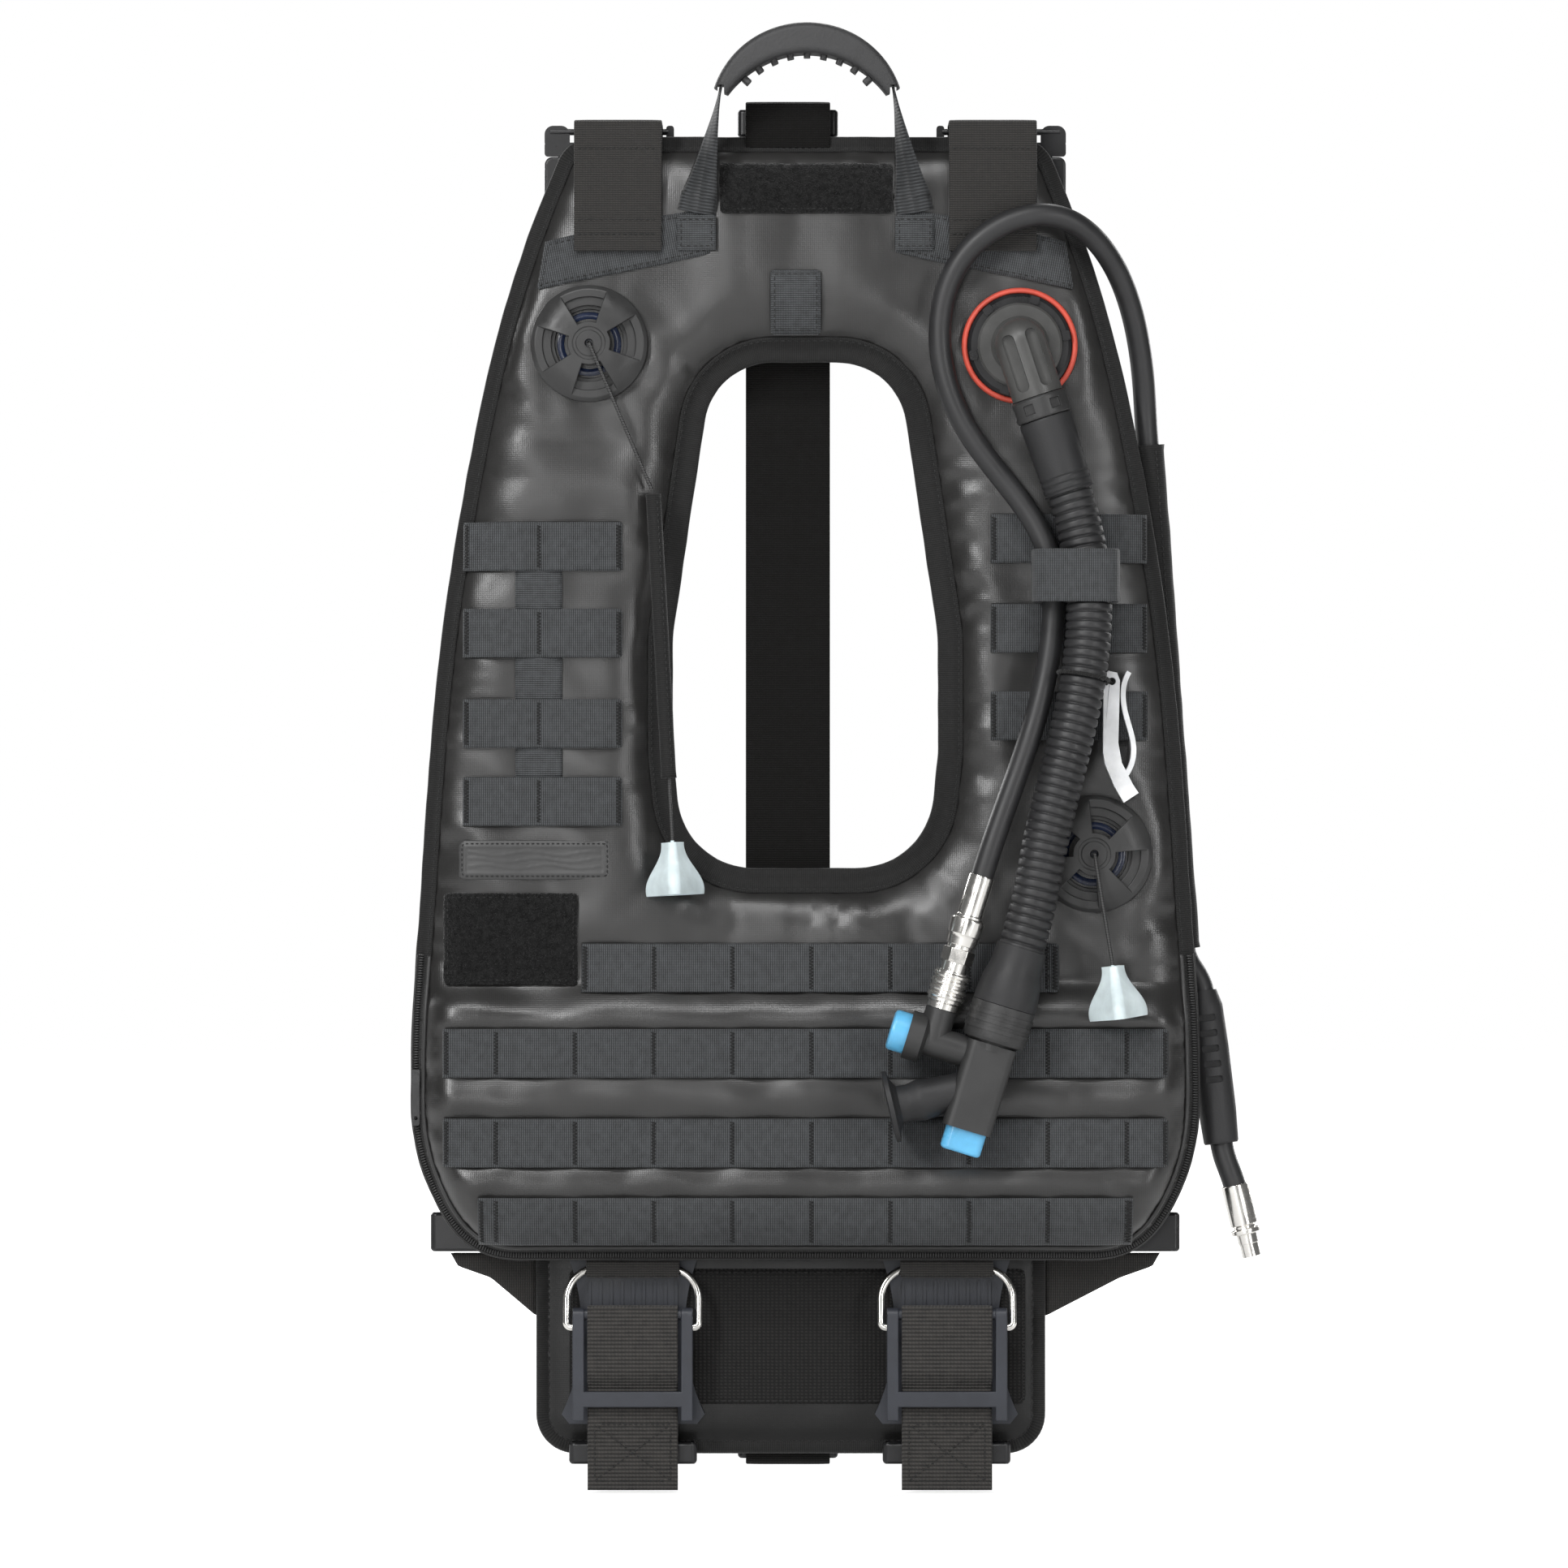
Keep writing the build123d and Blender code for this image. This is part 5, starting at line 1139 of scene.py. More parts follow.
def sew_around(outline, front_y, inset, step=2 * mm, lift=0.0, **kind):
    """Stitches round a sheet, inset from its outline and lift in front of its face."""
    edge = inset_line(evenly(outline, step, closed=True), inset)
    line = np.array([(x, y, z) for (x, z), y in zip(edge, front_y(edge) - lift)])
    threads.run(line, front_out, closed=True, **kind)


pile_shapes = []
for points, unused in islands("loop_patches"):
    low, high = box_of(points)
    outline = rectangle(low, high, 2 * mm)
    pile_shapes.append(sheet(outline, 1.1 * mm, 1.2 * mm, pile_y))
    sew_around(outline, pile_y, 2.2 * mm, lift=-0.3 * mm)
    # Loose curls of pile.
    for k in range(int((high.x - low.x) * (high.z - low.z) / (1.7 * mm) ** 2)):
        x = random.uniform(low.x + 0.5 * mm, high.x - 0.5 * mm)
        z = random.uniform(low.z + 0.5 * mm, high.z - 0.5 * mm)
        y = pile_y(np.array([(x, z)]))[0] - 0.2 * mm
        turn = random.uniform(0, 2 * math.pi)
        reach = random.uniform(0.5, 1.1) * mm
        tacks.stitch((x, y, z), (x + reach * math.cos(turn), y - 0.4 * mm,
                                 z + reach * math.sin(turn)), front_out, 0.11 * mm)
build("loop_pile", pile_shapes, cloth["pile"], ("loop_patches",))

patch_low, patch_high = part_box("name_patch")


def patch_y(points):
    """Moulded patch: raised rim, then a field with three plain waves."""
    base = on_skin(0.0)(points)
    x, z = points[:, 0], points[:, 1]
    from_rim = np.minimum.reduce([x - patch_low.x, patch_high.x - x, z - patch_low.z,
                                  patch_high.z - z])
    rim = 1 - ease(np.abs(from_rim - 3.1 * mm), 0.3 * mm, 0.8 * mm)
    middle = (patch_low.z + patch_high.z) / 2
    field = ease(from_rim, 4.4 * mm, 5.2 * mm)
    crest = np.zeros(len(x))
    for k in (-1, 0, 1):
        line = middle + k * 3.4 * mm + 1.0 * mm * np.sin((x - patch_low.x) / (5.2 * mm) + k)
        crest = np.maximum(crest, 1 - ease(np.abs(z - line), 0.25 * mm, 0.8 * mm))
    level = base * 0.4 + base.mean() * 0.6
    return level - 1.3 * mm - 0.5 * mm * rim - 0.4 * mm * crest * field


patch_outline = rectangle(patch_low, patch_high, 3 * mm)
build("name_patch_rubber", [sheet(patch_outline, 0.8 * mm, 1.8 * mm, patch_y)], patch_rubber,
      ("name_patch",))
sew_around(patch_outline, patch_y, 1.6 * mm, 1.5 * mm, 0.1 * mm, pitch=2.6 * mm, length=1.7 * mm)


tab_shapes = []
loop_shapes = []
for part in islands("sewn_tabs"):
    low, high = box_of(part[0])
    if high.y > 0:
        # Loop of webbing that holds a bail to its base plate, drawn as a flattened ring.
        half = 0.8 * mm
        front, rear, bottom, top = low.y + half, high.y - half, low.z + half, high.z - half
        start = (0, front, high.z - 4 * mm)
        ring = rounded([start, (0, front, bottom), (0, rear, bottom), (0, rear, top),
                        (0, front, top), start], 2.6 * mm)
        ring = evenly(ring, 0.8 * mm)[:-1] + np.array(((low.x + high.x) / 2, 0, 0))
        loop_shapes.append(swept(ring, (1, 0, 0), flat_profile(high.x - low.x, 1.4 * mm, 14),
                                 closed=True))
        continue
    outline = front_loops(part)[0]
    width, tall = high.x - low.x, high.z - low.z
    if width > 40 * mm:
        side = 1 if low.x > 0 else -1
        along = (side, -0.19)

        def front_y(points):
            return np.maximum(on_skin(1.7 * mm)(points), low.y)
    elif tall > 25 * mm:
        along = upright

        def front_y(points):
            lifted = np.sin(np.clip((points[:, 1] - low.z) / (high.z - low.z), 0, 1) * math.pi)
            return on_skin(2.2 * mm)(points) - 2.0 * mm * lifted
    else:
        along = upright
        front_y = on_skin(3.4 * mm)
    tab_shapes.append(sheet(outline, 2.2 * mm, webbing_thick, front_y, along=along))
    sew_around(outline, front_y, 2.2 * mm)
build("sewn_webbing_tabs", tab_shapes, cloth["molle"], ("sewn_tabs",))
build("bail_loops", loop_shapes, cloth["strap"], ("sewn_tabs",))


# ============================================================ straps
def strip_line(part):
    """Middle line of a bent strip of even thickness, read off its flat left side."""
    points, triangles = part
    side = points[:, 0].min()
    flat_faces = (points[triangles][:, :, 0] < side + 0.05 * mm).all(axis=1)
    following = free_edges(triangles[flat_faces])
    first = next(iter(following))
    loop = [first]
    while following[loop[-1]] != first:
        loop.append(following[loop[-1]])
    loop = points[loop]
    back, ahead = loop - np.roll(loop, 1, axis=0), np.roll(loop, -1, axis=0) - loop
    cosine = (back * ahead).sum(axis=1) / (np.linalg.norm(back, axis=1)
                                           * np.linalg.norm(ahead, axis=1))
    sharp = cosine < 0.35
    ends = [i for i in range(len(loop)) if sharp[i] and sharp[(i + 1) % len(loop)]]
    first, second = ends[0], ends[1]
    count = len(loop)
    one = [loop[(first + 1 + k) % count] for k in range((second - first - 1) % count + 1)]
    other = [loop[(second + 1 + k) % count] for k in range((first - second - 1) % count + 1)]
    one, other = np.array(one), np.array(other[::-1])
    stations = max(12, int(distances(one)[-1] / (1.5 * mm)))

    def spread(line):
        travelled = distances(line)
        travelled /= travelled[-1]
        return np.stack([np.interp(np.linspace(0, 1, stations), travelled, line[:, k])
                         for k in range(3)], axis=1)

    middle = (spread(one) + spread(other)) / 2
    middle[:, 0] = (side + points[:, 0].max()) / 2
    return middle


def bent_strap(name, parts, nodes, material, body="vest", sway=0.25):
    """Webbing that follows bent CAD strips, with a slight unevenness."""
    shapes = []
    for seed, part in enumerate(parts):
        line = evenly(strip_line(part), 1.5 * mm)
        low, high = box_of(part[0])
        line[:, 1] += [sway * mm * noise.noise(Vector((k * 0.06, seed, 2.2)))
                       for k in range(len(line))]
        width = high.x - low.x - 0.4 * mm
        shapes.append(swept(line, (1, 0, 0), flat_profile(width, webbing_thick, 14)))
    build(name, shapes, material, nodes, body=body)


# The spine strap wears the darker webbing, whose colour holds painted shade.
bent_strap("spine_webbing_painted_shade", islands("spine_strap"), ("spine_strap",), cloth["spine"])
bent_strap("shoulder_webbing", islands("shoulder_straps"), ("shoulder_straps",),
           cloth["strap"], sway=0.15)
for side in ("left", "right"):
    bent_strap(f"lever_webbing_{side}", islands(f"lever_strap_{side}"),
               (f"lever_strap_{side}",), cloth["basket"], body=f"lever_{side}", sway=0.1)
    part = islands(f"harness_strap_{side}")[0]
    low, high = box_of(part[0])
    outline = front_loops(part)[0]
    slope = 1 if side == "right" else -1
    direction = (0.122 * slope, -0.993)
    middle = (low.y + high.y) / 2
    shape = sheet(outline, 3 * mm, webbing_thick, level_at(middle - webbing_thick / 2),
                  along=direction)
    build(f"harness_webbing_{side}", [shape], cloth["strap"], (f"harness_strap_{side}",),
          body=f"harness_{side}")

wing_shapes = []
for part in islands("waist_straps"):
    outline = front_loops(part)[0]
    low, high = box_of(part[0])
    wing_shapes.append(sheet(outline, 2.5 * mm, webbing_thick, level_at(low.y)))
build("waist_webbing", wing_shapes, cloth["strap"], ("waist_straps",))

# Rows of stitching across the shoulder straps, and boxes with a cross on the lower ends of the
# lever straps.
for part in islands("shoulder_straps"):
    low, high = box_of(part[0])
    for level in (0.78, 0.24, 0.13):
        z = low.z + (high.z - low.z) * level
        y = low.y - 0.1 * mm
        threads.run([(low.x + 2 * mm, y, z), (high.x - 2 * mm, y, z)], front_out,
                    pitch=2.9 * mm, length=2.1 * mm, radius=0.36 * mm)


def cross_box(sewn, low_x, high_x, low_z, high_z, y):
    """Box of stitches with a cross in it."""
    corners = [(low_x, y, low_z), (high_x, y, low_z), (high_x, y, high_z), (low_x, y, high_z)]
    diagonals = [(corners[0], corners[2]), (corners[1], corners[3])]
    for ends in list(zip(corners, corners[1:] + corners[:1])) + diagonals:
        sewn.run(ends, front_out, pitch=2.8 * mm, length=2 * mm)


for side in ("left", "right"):
    sewn = Threads()
    low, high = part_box(f"lever_strap_{side}")
    near = [p for p in strip_line(islands(f"lever_strap_{side}")[0]) if p[2] < low.z + 20 * mm]
    strap_y = min(p[1] for p in near) - 0.9 * mm
    cross_box(sewn, low.x + 4 * mm, high.x - 4 * mm, low.z + 5 * mm, low.z + 34 * mm, strap_y)
    sewn.build(f"lever_strap_stitches_{side}", thread, body=f"lever_{side}")

# Handle legs: flat on the chest below, turned edge-on where they enter the grip.
leg_low_width, leg_high_width = 20 * mm, 15 * mm
leg_flat = 0.12                     # share of the length that stays flat
leg_shapes = []
for points, triangles in islands("handle_webbing"):
    order = points[:, 2].argsort()
    foot, head = points[order[:4]].mean(axis=0), points[order[-4:]].mean(axis=0)
    shares = np.linspace(0, 1, 60)
    bow = np.sin(shares * math.pi)[:, None] * np.array((0, -1.5 * mm, 0))
    line = foot + (head - foot) * shares[:, None] + bow
    upward = unit(head - foot)
    level = unit(np.array((1, 0, 0)) - upward * upward[0])
    toward = np.cross(level, upward)
    turned_share = np.clip((shares - leg_flat) / (1 - leg_flat), 0, 1) ** 0.9
    turn = np.arccos(1 - turned_share)
    across = np.cos(turn)[:, None] * level + np.sin(turn)[:, None] * toward
    width = leg_low_width + (leg_high_width - leg_low_width) * shares
    profile = np.stack([flat_profile(1, 1, 10)] * len(shares))
    profile[..., 0] *= width[:, None]
    profile[..., 1] *= webbing_thick
    leg_shapes.append(swept(line, across, profile))
build("handle_legs", leg_shapes, cloth["leg"], ("handle_webbing",), body="carry_handle")


# ============================================================ pad behind the cinches
pad_low, pad_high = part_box("cylinder_pad")
panel_low, panel_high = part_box("pad_panel")
pad_thick = pad_high.y - pad_low.y


def pad_face(side):
    """Depth function of the cushion: side -1 is its front and 1 its back."""
    def face_y(points):
        distance = loop_distance(points, evenly(pad_seam, 3 * mm, closed=True))[0]
        inside = inside_of(points, pad_seam)
        distance = np.where(inside, distance, 0)
        puff = dome(distance, 0, 16 * mm)
        lumps = np.array([noise.noise(Vector((x * 34, z * 34, side))) for x, z in points])
        swell = 0.55 + 0.45 * puff + 0.09 * lumps * puff
        middle = (pad_low.y + pad_high.y) / 2
        return middle + side * pad_thick / 2 * swell
    return face_y


def lens(outline, cell_size, front_y, back_y):
    """Closed cushion between two depth functions."""
    points, faces, uvs = sheet(outline, cell_size, 1.0, lambda p: np.zeros(len(p)), soft=0)
    count = len(points) // 2
    flat_points = points[:count][:, (0, 2)]
    points[:count, 1] = front_y(flat_points)
    points[count:, 1] = back_y(flat_points)
    return points, faces, uvs


pad_outline = inset_line(evenly(pad_edge, 3 * mm, closed=True), 2 * mm)
build("pad_cushion", [lens(pad_outline, 3.2 * mm, pad_face(-1), pad_face(1))], cloth["pad"],
      ("cylinder_pad",))


def panel_y(points):
    """Front of the mesh panel, a little in front of the cushion."""
    return pad_face(-1)(points) - 1.1 * mm


panel_outline = rectangle(panel_low, panel_high, 3 * mm)
build("pad_mesh_panel", [sheet(panel_outline, 2.6 * mm, 1.4 * mm, panel_y)], cloth["mesh"],
      ("pad_panel",))
sew_around(panel_outline, panel_y, 1.6 * mm)

line = evenly(pad_edge, 3 * mm, closed=True)
normal = inward_normals(line)
ring_low, ring_high = box_of(pad_ring[0])
ring_depth = ring_high.y - ring_low.y
# Section of the tape: millimetres in from the rim, and share of the depth from front to back.
tape_section = ((8, 0.3), (6, 0.12), (3.5, 0.02), (1.6, 0), (0.2, 0.16), (-0.4, 0.5),
                (0.2, 0.84), (1.6, 1), (3.5, 0.98), (6, 0.88), (8, 0.7))
pad_binding = []
for k in range(len(line)):
    ring = []
    for offset, share in tape_section:
        x, z = line[k] + normal[k] * offset * mm
        wobble = 0.2 * mm * noise.noise(Vector((k * 0.2, offset, 7.7)))
        ring.append((x, ring_low.y + ring_depth * share + wobble, z))
    pad_binding.append(ring)
build("pad_binding", [ringed(np.array(pad_binding), True)], cloth["binding"],
      ("edge_bindings",))
seam = line + normal * 6.4 * mm
for side, y in ((-1, ring_low.y + 0.12 * ring_depth), (1, ring_high.y - 0.12 * ring_depth)):
    threads.run([(x, y, z) for x, z in seam], (0, side, 0), closed=True)


# ============================================================ zip round the pocket
zip_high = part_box("pocket_zip")[1]
zip_line = evenly(vest_edge, 2 * mm, closed=True)
zip_normal = inward_normals(zip_line)
below = zip_line[:, 1] < zip_high.z
start = next(i for i in range(len(below)) if below[i] and not below[i - 1])
order = [(start + k) % len(below) for k in range(below.sum())]
zip_edge, zip_normal = zip_line[order], zip_normal[order]
coil_inset = 2.6 * mm
coil_line = zip_edge + zip_normal * coil_inset


def rim_y(x, z):
    """Front of the binding tape at (x, z)."""
    return min(skin(x, z, -1, 1.6 * mm) - tape_thick, -tape_half)


coil_y = smoothed(np.array([rim_y(x, z) for x, z in coil_line]), 3) - 0.9 * mm
tape_rings = []
for (x, z), (nx, nz), y in zip(coil_line, zip_normal, coil_y):
    ring = []
    for across_offset, rise in ((-2.6, 0.9), (-2.2, 0.2), (0, 0), (2.4, 0.2), (2.8, 0.9)):
        ring.append((x + nx * across_offset * mm, y + rise * mm, z + nz * across_offset * mm))
    tape_rings.append(ring)
build("zip_tape", [ringed(np.array(tape_rings), False)], cloth["binding"], ("pocket_zip",))
piping_line = zip_edge + zip_normal * 6.6 * mm
piping_y = smoothed(np.array([rim_y(x, z) for x, z in piping_line]), 3)
piping_path = np.stack([piping_line[:, 0], piping_y + 0.1 * mm, piping_line[:, 1]], axis=1)
build("pocket_piping", [swept(piping_path, (0, 1, 0), round_profile(1.3 * mm, 10))],
      satin_plastic, ("pocket_zip",))
coil = Threads()
coil_path = evenly(np.stack([coil_line[:, 0], coil_y - 0.35 * mm, coil_line[:, 1]], axis=1),
                   1.35 * mm)
for before, after in zip(coil_path, coil_path[1:]):
    across = np.cross(unit(after - before), (0, 1, 0))
    coil.stitch(before - across * 1.7 * mm, before + across * 1.7 * mm, front_out, 0.5 * mm)
coil.build("zip_coil", satin_plastic)


# ============================================================ hoses, cords and sleeves
def eased(line, rounds):
    """Line whose inner points are drawn towards their neighbours."""
    line = line.copy()
    for k in range(rounds):
        line[1:-1] = (line[:-2] + 2 * line[1:-1] + line[2:]) / 4
    return line


hose_part = islands("corrugated_hose")[0]
hose_points = hose_part[0]
hose_top = hose_points[hose_points[:, 2] > hose_points[:, 2].max() - 8 * mm].mean(axis=0)
hose_radius = 11.7 * mm
hose_line = centreline(hose_part, hose_top - np.array((0, 0, 6 * mm)), (0.3, 0, -0.95),
                       hose_radius, 3 * mm)
toward_top = centreline(hose_part, hose_line[0], hose_line[0] - hose_line[1], hose_radius, 3 * mm)
hose_line = eased(np.vstack([toward_top[::-1], hose_line[1:]]), 3)
ring_pitch = 4.8 * mm
ring_steps = 8                      # stations along each ring of the hose
ridge_share = 0.62                  # share of the pitch over which a ring rises and falls
fine_line = evenly(hose_line, ring_pitch / ring_steps)
phase = np.arange(len(fine_line)) / ring_steps % 1
rise = np.clip(np.minimum(phase, 1 - phase) * 2 / ridge_share, 0, 1)
radii = 9.8 * mm + 2.0 * mm * np.sqrt(1 - (1 - rise) ** 2)
turns = round_profile(1.0, 28)
build("hose_rings", [swept(fine_line, (0, 1, 0), radii[:, None, None] * turns[None])],
      hose_rubber, ("corrugated_hose",))

lp_part = islands("lp_hose")[0]
stud = named("mount", "lp_port_stud")
stud_axis = np.array(stud["axis"], float)
stud_end = np.array(stud["pos_m"], float) + stud_axis * 3.5 * mm
lp_radius = 5.85 * mm
lp_line = eased(centreline(lp_part, stud_end - stud_axis * 38 * mm, -stud_axis, lp_radius,
                           3 * mm), 2)
lp_line = np.vstack([lp_line[0] + stud_axis * 9 * mm, lp_line])
build("lp_hose_tube", [swept(evenly(lp_line, 2 * mm), (0, 1, 0), round_profile(lp_radius, 24))],
      hose_rubber, ("lp_hose",))


def tube_ends(part):
    """Two end points of a straight CAD tube."""
    points = part[0]
    centre = points.mean(axis=0)
    spread = np.linalg.svd(points - centre, full_matrices=False)[2][0]
    reach = (points - centre) @ spread
    top, low = centre + spread * reach.max(), centre + spread * reach.min()
    return (top, low) if top[2] > low[2] else (low, top)


def cloth_tube(name, node, radius):
    """Sewn sleeve with slightly wider hems at its ends."""
    top, low = tube_ends(islands(node)[0])
    line = evenly([top, low], 3 * mm)
    profile = []
    for k in range(len(line)):
        puff = 1 + 0.05 * noise.noise(Vector((k * 0.23, radius * 90, 1.1)))
        hem = 1 + 0.05 * (k in (0, len(line) - 1))
        profile.append(round_profile(radius, 20) * puff * hem)
    build(name, [swept(line, (1, 0, 0), np.array(profile))], cloth["binding"], (node,))
    seam = line + np.array((radius * 0.45, 0.3 * mm - radius, 0))
    threads.run(seam[1:-1], front_out)


cloth_tube("cord_sleeve_tube", "cord_sleeve", 3.9 * mm)
cloth_tube("hose_sleeve_tube", "hose_sleeve", 8.4 * mm)

keeper_low, keeper_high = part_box("hose_keeper")
inset = 0.8 * mm
left, right = keeper_low.x + inset, keeper_high.x - inset
front, rear = keeper_low.y + inset, keeper_high.y - inset
start = ((keeper_low.x + keeper_high.x) / 2, rear)
ring = [start, (right, rear), (right, front), (left, front), (left, rear), start]
keeper_z = (keeper_low.z + keeper_high.z) / 2
keeper_line = evenly(rounded([(x, y, keeper_z) for x, y in ring], 11 * mm, 8), 1.5 * mm)[:-1]
build("keeper_webbing", [swept(keeper_line, (0, 0, 1),
                               flat_profile(keeper_high.z - keeper_low.z, webbing_thick, 12),
                               closed=True)], cloth["molle"], ("hose_keeper",))

# Lanyard: a twisted cord tied round the hose, and its tail to the whistle's eye.
lanyard_points = islands("whistle_lanyard")[0][0]
whistle_eye = np.array(named("joint", "whistle_swing")["pos_m"], float)


def twisted_cord(line, closed, radius=0.75 * mm, twist=3.4 * mm):
    """Two strands laid round each other along a line."""
    line = np.array(line, float)
    tangent = np.gradient(line, axis=0)
    if closed:
        tangent = np.roll(line, -1, axis=0) - np.roll(line, 1, axis=0)
    tangent = unit(tangent)
    first = unit(np.cross(tangent, (0.31, 0.52, 0.8)))
    second = np.cross(tangent, first)
    travelled = distances(line)
    length = travelled[-1] + (travelled[1] if closed else 0)
    turns = max(1, round(length / twist)) * 2 * math.pi * travelled / length
    shapes = []
    for start in (0, math.pi):
        angle = (turns + start)[:, None]
        strand = line + (first * np.cos(angle) + second * np.sin(angle)) * radius * 0.6
        shapes.append(swept(strand, (0.31, 0.52, 0.8), round_profile(radius, 8), closed=closed))
    return shapes


nearest = np.linalg.norm(hose_line - lanyard_points.mean(axis=0), axis=1).argmin()
tie_axis = unit(hose_line[nearest + 1] - hose_line[nearest - 1])
tie_middle = hose_line[nearest] + tie_axis * ((lanyard_points.mean(axis=0)
                                               - hose_line[nearest]) @ tie_axis)
tie_side = unit(np.cross(tie_axis, (0, 1, 0)))
tie_front = np.cross(tie_axis, tie_side)
tie_ring = [tie_middle + (tie_side * math.cos(a) + tie_front * math.sin(a)) * 12.9 * mm
            for a in np.linspace(0, 2 * math.pi, 72, endpoint=False)]
tie_ring = np.array(tie_ring)
knot = tie_ring[np.linalg.norm(tie_ring - whistle_eye, axis=1).argmin()]
tail = evenly(rounded([knot, (knot + whistle_eye) / 2 + np.array((0, -1 * mm, -1.5 * mm)),
                       whistle_eye + np.array((0, -1.2 * mm, 0))], 4 * mm), 0.8 * mm)
build("lanyard_cord", twisted_cord(tie_ring, True) + twisted_cord(tail, False),
      cloth["binding"], ("whistle_lanyard",))


# ============================================================ hard pieces, with soft edges
def hard(node, material, slot=None, bevel=0.35 * mm, angle=32):
    """Keeps a CAD node's mesh; modifiers merge its corners and round its edges."""
    piece = frame["nodes"][node]
    piece.data.materials.clear()
    piece.data.materials.append(material)
    if piece.data.has_custom_normals:
        with bpy.context.temp_override(object=piece, active_object=piece):
            bpy.ops.mesh.customdata_custom_splitnormals_clear()
    for polygon in piece.data.polygons:
        polygon.use_smooth = True
    weld = piece.modifiers.new("weld", "WELD")
    weld.merge_threshold = 0.002 * mm
    if bevel:
        edge = piece.modifiers.new("edge", "BEVEL")
        edge.width = bevel
        edge.segments = 2
        edge.limit_method = "ANGLE"
        edge.angle_limit = math.radians(angle)
        edge.harden_normals = True
        edge.use_clamp_overlap = True
    shade = piece.modifiers.new("shade", "WEIGHTED_NORMAL")
    shade.keep_sharp = True
    return piece


# Material and width of the rounded edges, in millimetres, of each hard piece.
hard_pieces = {
    "webbing_slides": (black_plastic, 1.5), "buckle_plug_left": (black_plastic, 0.4),
    "buckle_plug_right": (black_plastic, 0.4), "buckle_socket_left": (black_plastic, 0.5),
    "buckle_socket_right": (black_plastic, 0.5), "cinch_bases": (grey_plastic, 0.3),
    "bail_left": (bright_steel, 0), "bail_right": (bright_steel, 0),
    "lever_left": (grey_plastic, 0.6), "lever_right": (grey_plastic, 0.6),
    "handle_grip": (grip_rubber, 0.6), "dump_valve_bases": (satin_plastic, 0.4),
    "dump_valve_covers": (satin_plastic, 0.4), "elbow_flange": (black_plastic, 0.35),
    "dump_disc_upper": (stem_parts["dump_disc_upper"], 0.15),
    "dump_disc_lower": (stem_parts["dump_disc_lower"], 0.15),
    "pull_toggle_upper": (stem_parts["pull_toggle_upper"], 0.5),
    "pull_toggle_lower": (stem_parts["pull_toggle_lower"], 0.5),
    "elbow_gasket": (red_rubber, 0), "elbow_body": (elbow_plastic, 0.4),
    "elbow_collar": (satin_plastic, 0.35), "hose_cuffs": (dark_rubber, 0.35),
    "inflator_body": (satin_plastic, 0.5), "mouthpiece": (dark_rubber, 0.3),
    "deflate_button": (blue_plastic, 0.4), "inflate_button": (blue_plastic, 0.3),
    "valve_springs": (spring_steel, 0), "coupler_body": (nickel, 0.2),
    "coupler_collar": (nickel, 0.2), "lp_fittings": (nickel, 0.25),
    "hose_protector": (dark_rubber, 0.4), "whistle": (white_nylon, 0.45),
    "zip_slider": (black_plastic, 0.2),
}
slots = {part["node"]: part["material_slot"] for part in frame["record"]["subparts"]}
for node, (material, bevel) in hard_pieces.items():
    hard(node, material, bevel=bevel * mm, slot=slots.get(node))

tacks.build("bar_tacks", pale_thread)
threads.build("sewing", thread)


# ============================================================ studio, camera and size
def area_light(name, place, target, width, height, watts):
    """Soft rectangular lamp at a place, turned towards a target."""
    light = bpy.data.lights.new(name, "AREA")
    light.shape = "RECTANGLE"
    light.size = width
    light.size_y = height
    light.energy = watts
    lamp = bpy.data.objects.new(name, light)
    bpy.context.scene.collection.objects.link(lamp)
    lamp.location = place
    lamp.rotation_euler = (Vector(target) - Vector(place)).to_track_quat("-Z", "Y").to_euler()


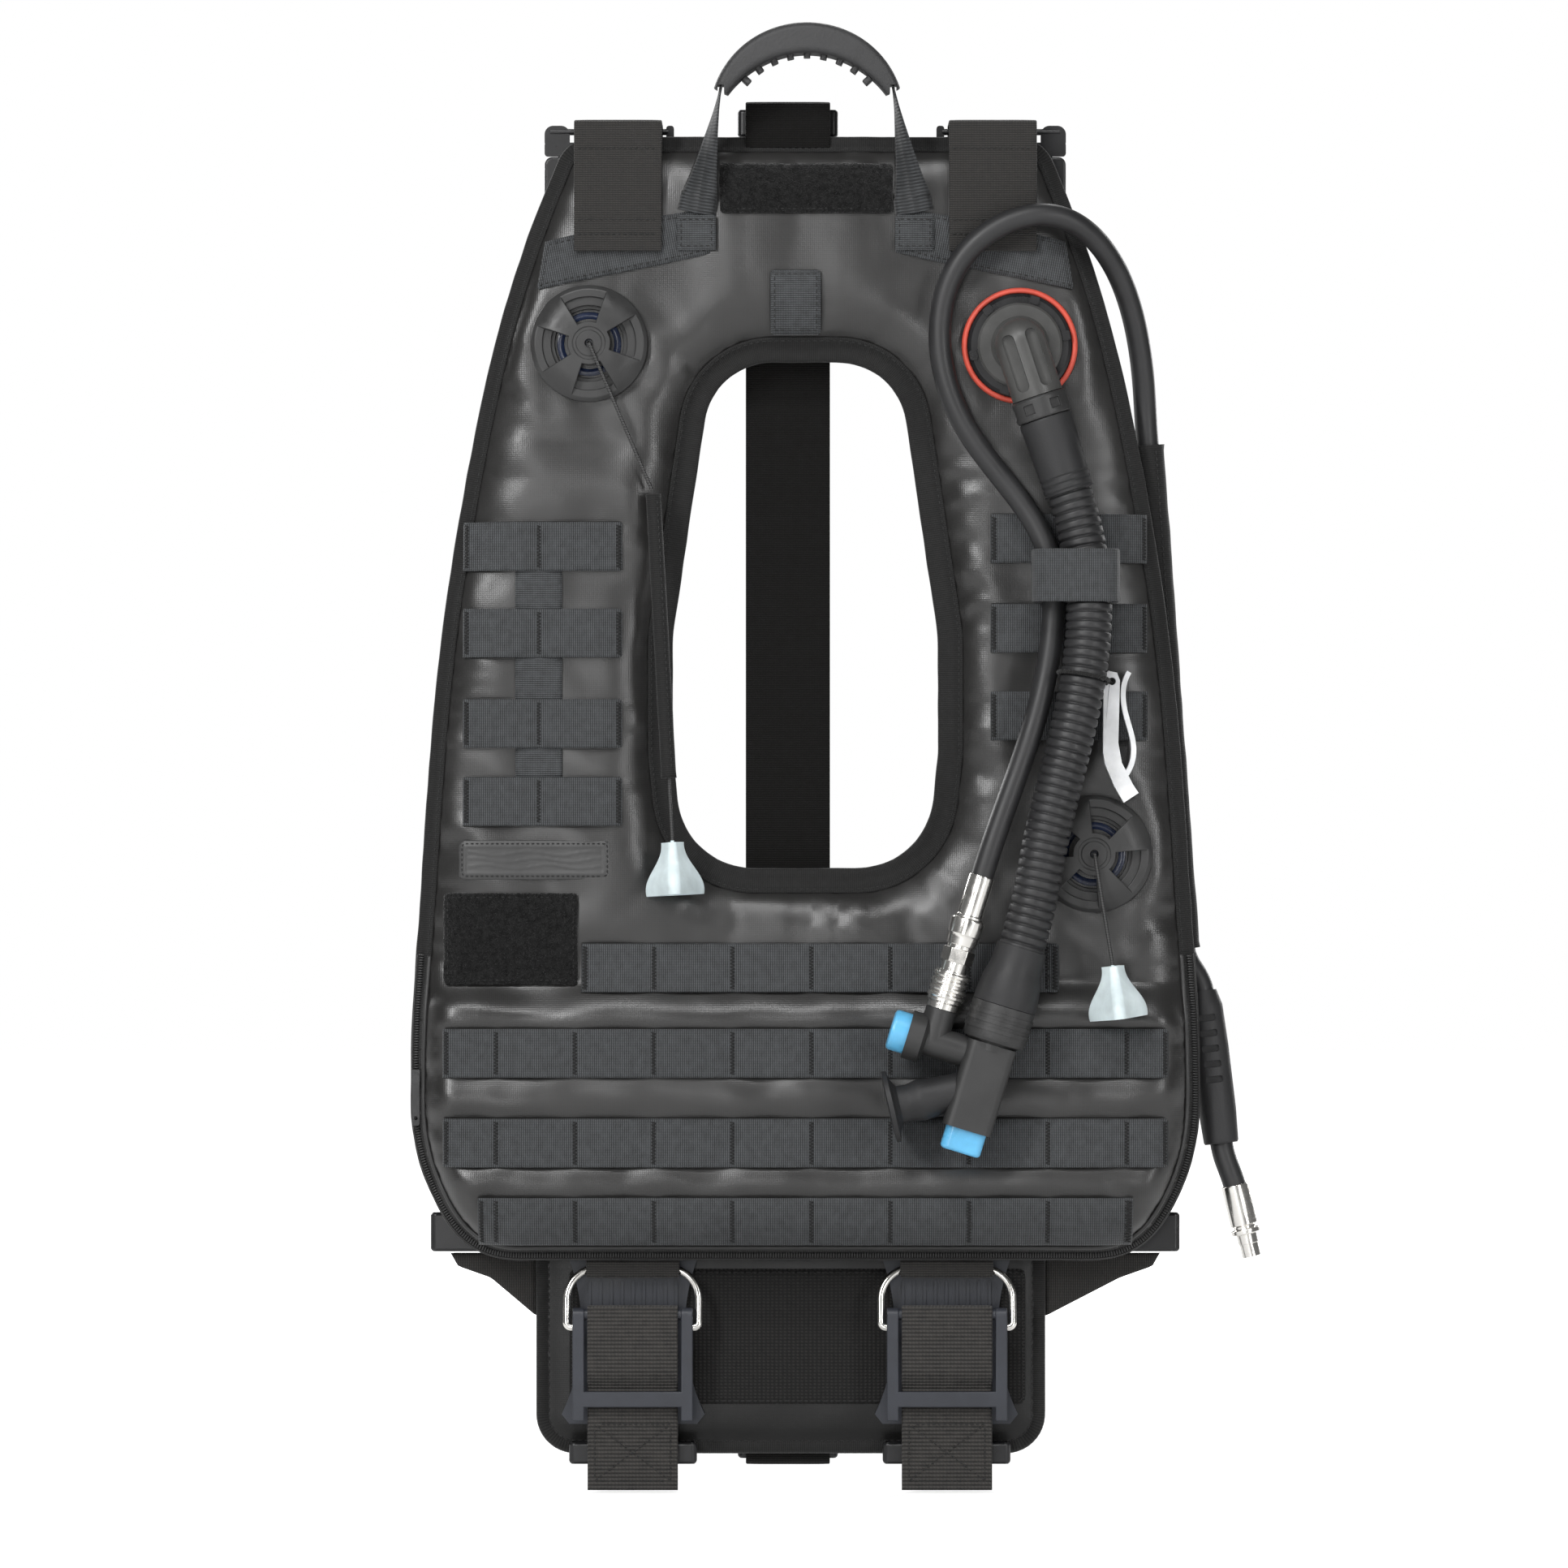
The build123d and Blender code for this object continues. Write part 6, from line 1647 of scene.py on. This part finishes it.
def studio():
    """Pale floor under a white surround, soft lights in front and softer ones behind."""
    half, level = 7.0, cad_low.z - 1.5 * mm
    corners = [(-half, -half, level), (half, -half, level), (half, half, level),
               (-half, half, level)]
    mesh = bpy.data.meshes.new("floor")
    mesh.from_pydata(corners, [], [(0, 1, 2, 3)])
    floor = bpy.data.objects.new("floor", mesh)
    bpy.context.scene.collection.objects.link(floor)
    g = Graph("paper", (0.86, 0.86, 0.86), 0.9, specular=0.1)
    g.bump(g.noise(g.coords.outputs["Object"], 60, 3), 0.1 * mm, 0.2)
    g.set("Emission Color", (1, 1, 1, 1))
    seen = g.node("ShaderNodeLightPath").outputs["Is Camera Ray"]
    x, y, z = g.axes(g.coords.outputs["Object"])
    away = g.math("SQRT", g.add(g.times(x, x), g.times(y, y)))
    g.set("Emission Strength", g.times(seen, g.ramp(away, 0.5, 1.0, 0.4, 1.8)))
    mesh.materials.append(g.material)
    # Place, width, height and watts of each lamp; all are aimed at the object's middle.
    lamps = {"key": ((-1.4, -2.3, 1.6), 0.45, 1.3, 44), "fill": ((1.7, -2.2, 0.8), 0.5, 1.5, 19),
             "front": ((-0.6, -3.6, 0.5), 0.8, 0.8, 13), "top": ((-0.1, -1.9, 2.5), 1.3, 0.35, 26),
             "back_left": ((-1.8, 2.0, 1.4), 0.6, 1.4, 36),
             "back_right": ((1.7, 2.3, 1.1), 0.6, 1.4, 26),
             "back_top": ((0.1, 1.9, 2.6), 1.3, 0.4, 26)}
    for name, (place, width, height, watts) in lamps.items():
        area_light(name, place, (cad_low + cad_high) / 2, width, height, watts)
    world = bpy.data.worlds.new("studio")
    bpy.context.scene.world = world
    world.use_nodes = True
    tree = world.node_tree
    background = tree.nodes["Background"]
    background.inputs["Color"].default_value = (1, 1, 1, 1)
    path = tree.nodes.new("ShaderNodeLightPath")
    strength = tree.nodes.new("ShaderNodeMapRange")
    strength.inputs["To Min"].default_value = 0.13
    strength.inputs["To Max"].default_value = 1.0
    tree.links.new(path.outputs["Is Camera Ray"], strength.inputs["Value"])
    tree.links.new(strength.outputs["Result"], background.inputs["Strength"])


def camera():
    """Long lens, square to the front of the vest, a little left of the middle."""
    view_width = 0.8046                 # metres seen across the frame at the vest
    distance = 4.2
    data = bpy.data.cameras.new("camera")
    data.sensor_width = 36              # millimetres
    data.lens = data.sensor_width * distance / view_width
    data.clip_end = 30
    lens = bpy.data.objects.new("camera", data)
    bpy.context.scene.collection.objects.link(lens)
    middle = Vector((-0.011, cad_low.y * 0.3, 0.364))
    lens.location = middle + Vector((0, -distance, 0))
    lens.rotation_euler = (math.pi / 2, 0, 0)
    bpy.context.scene.camera = lens


studio()
camera()
bpy.context.scene.view_settings.view_transform = "Standard"
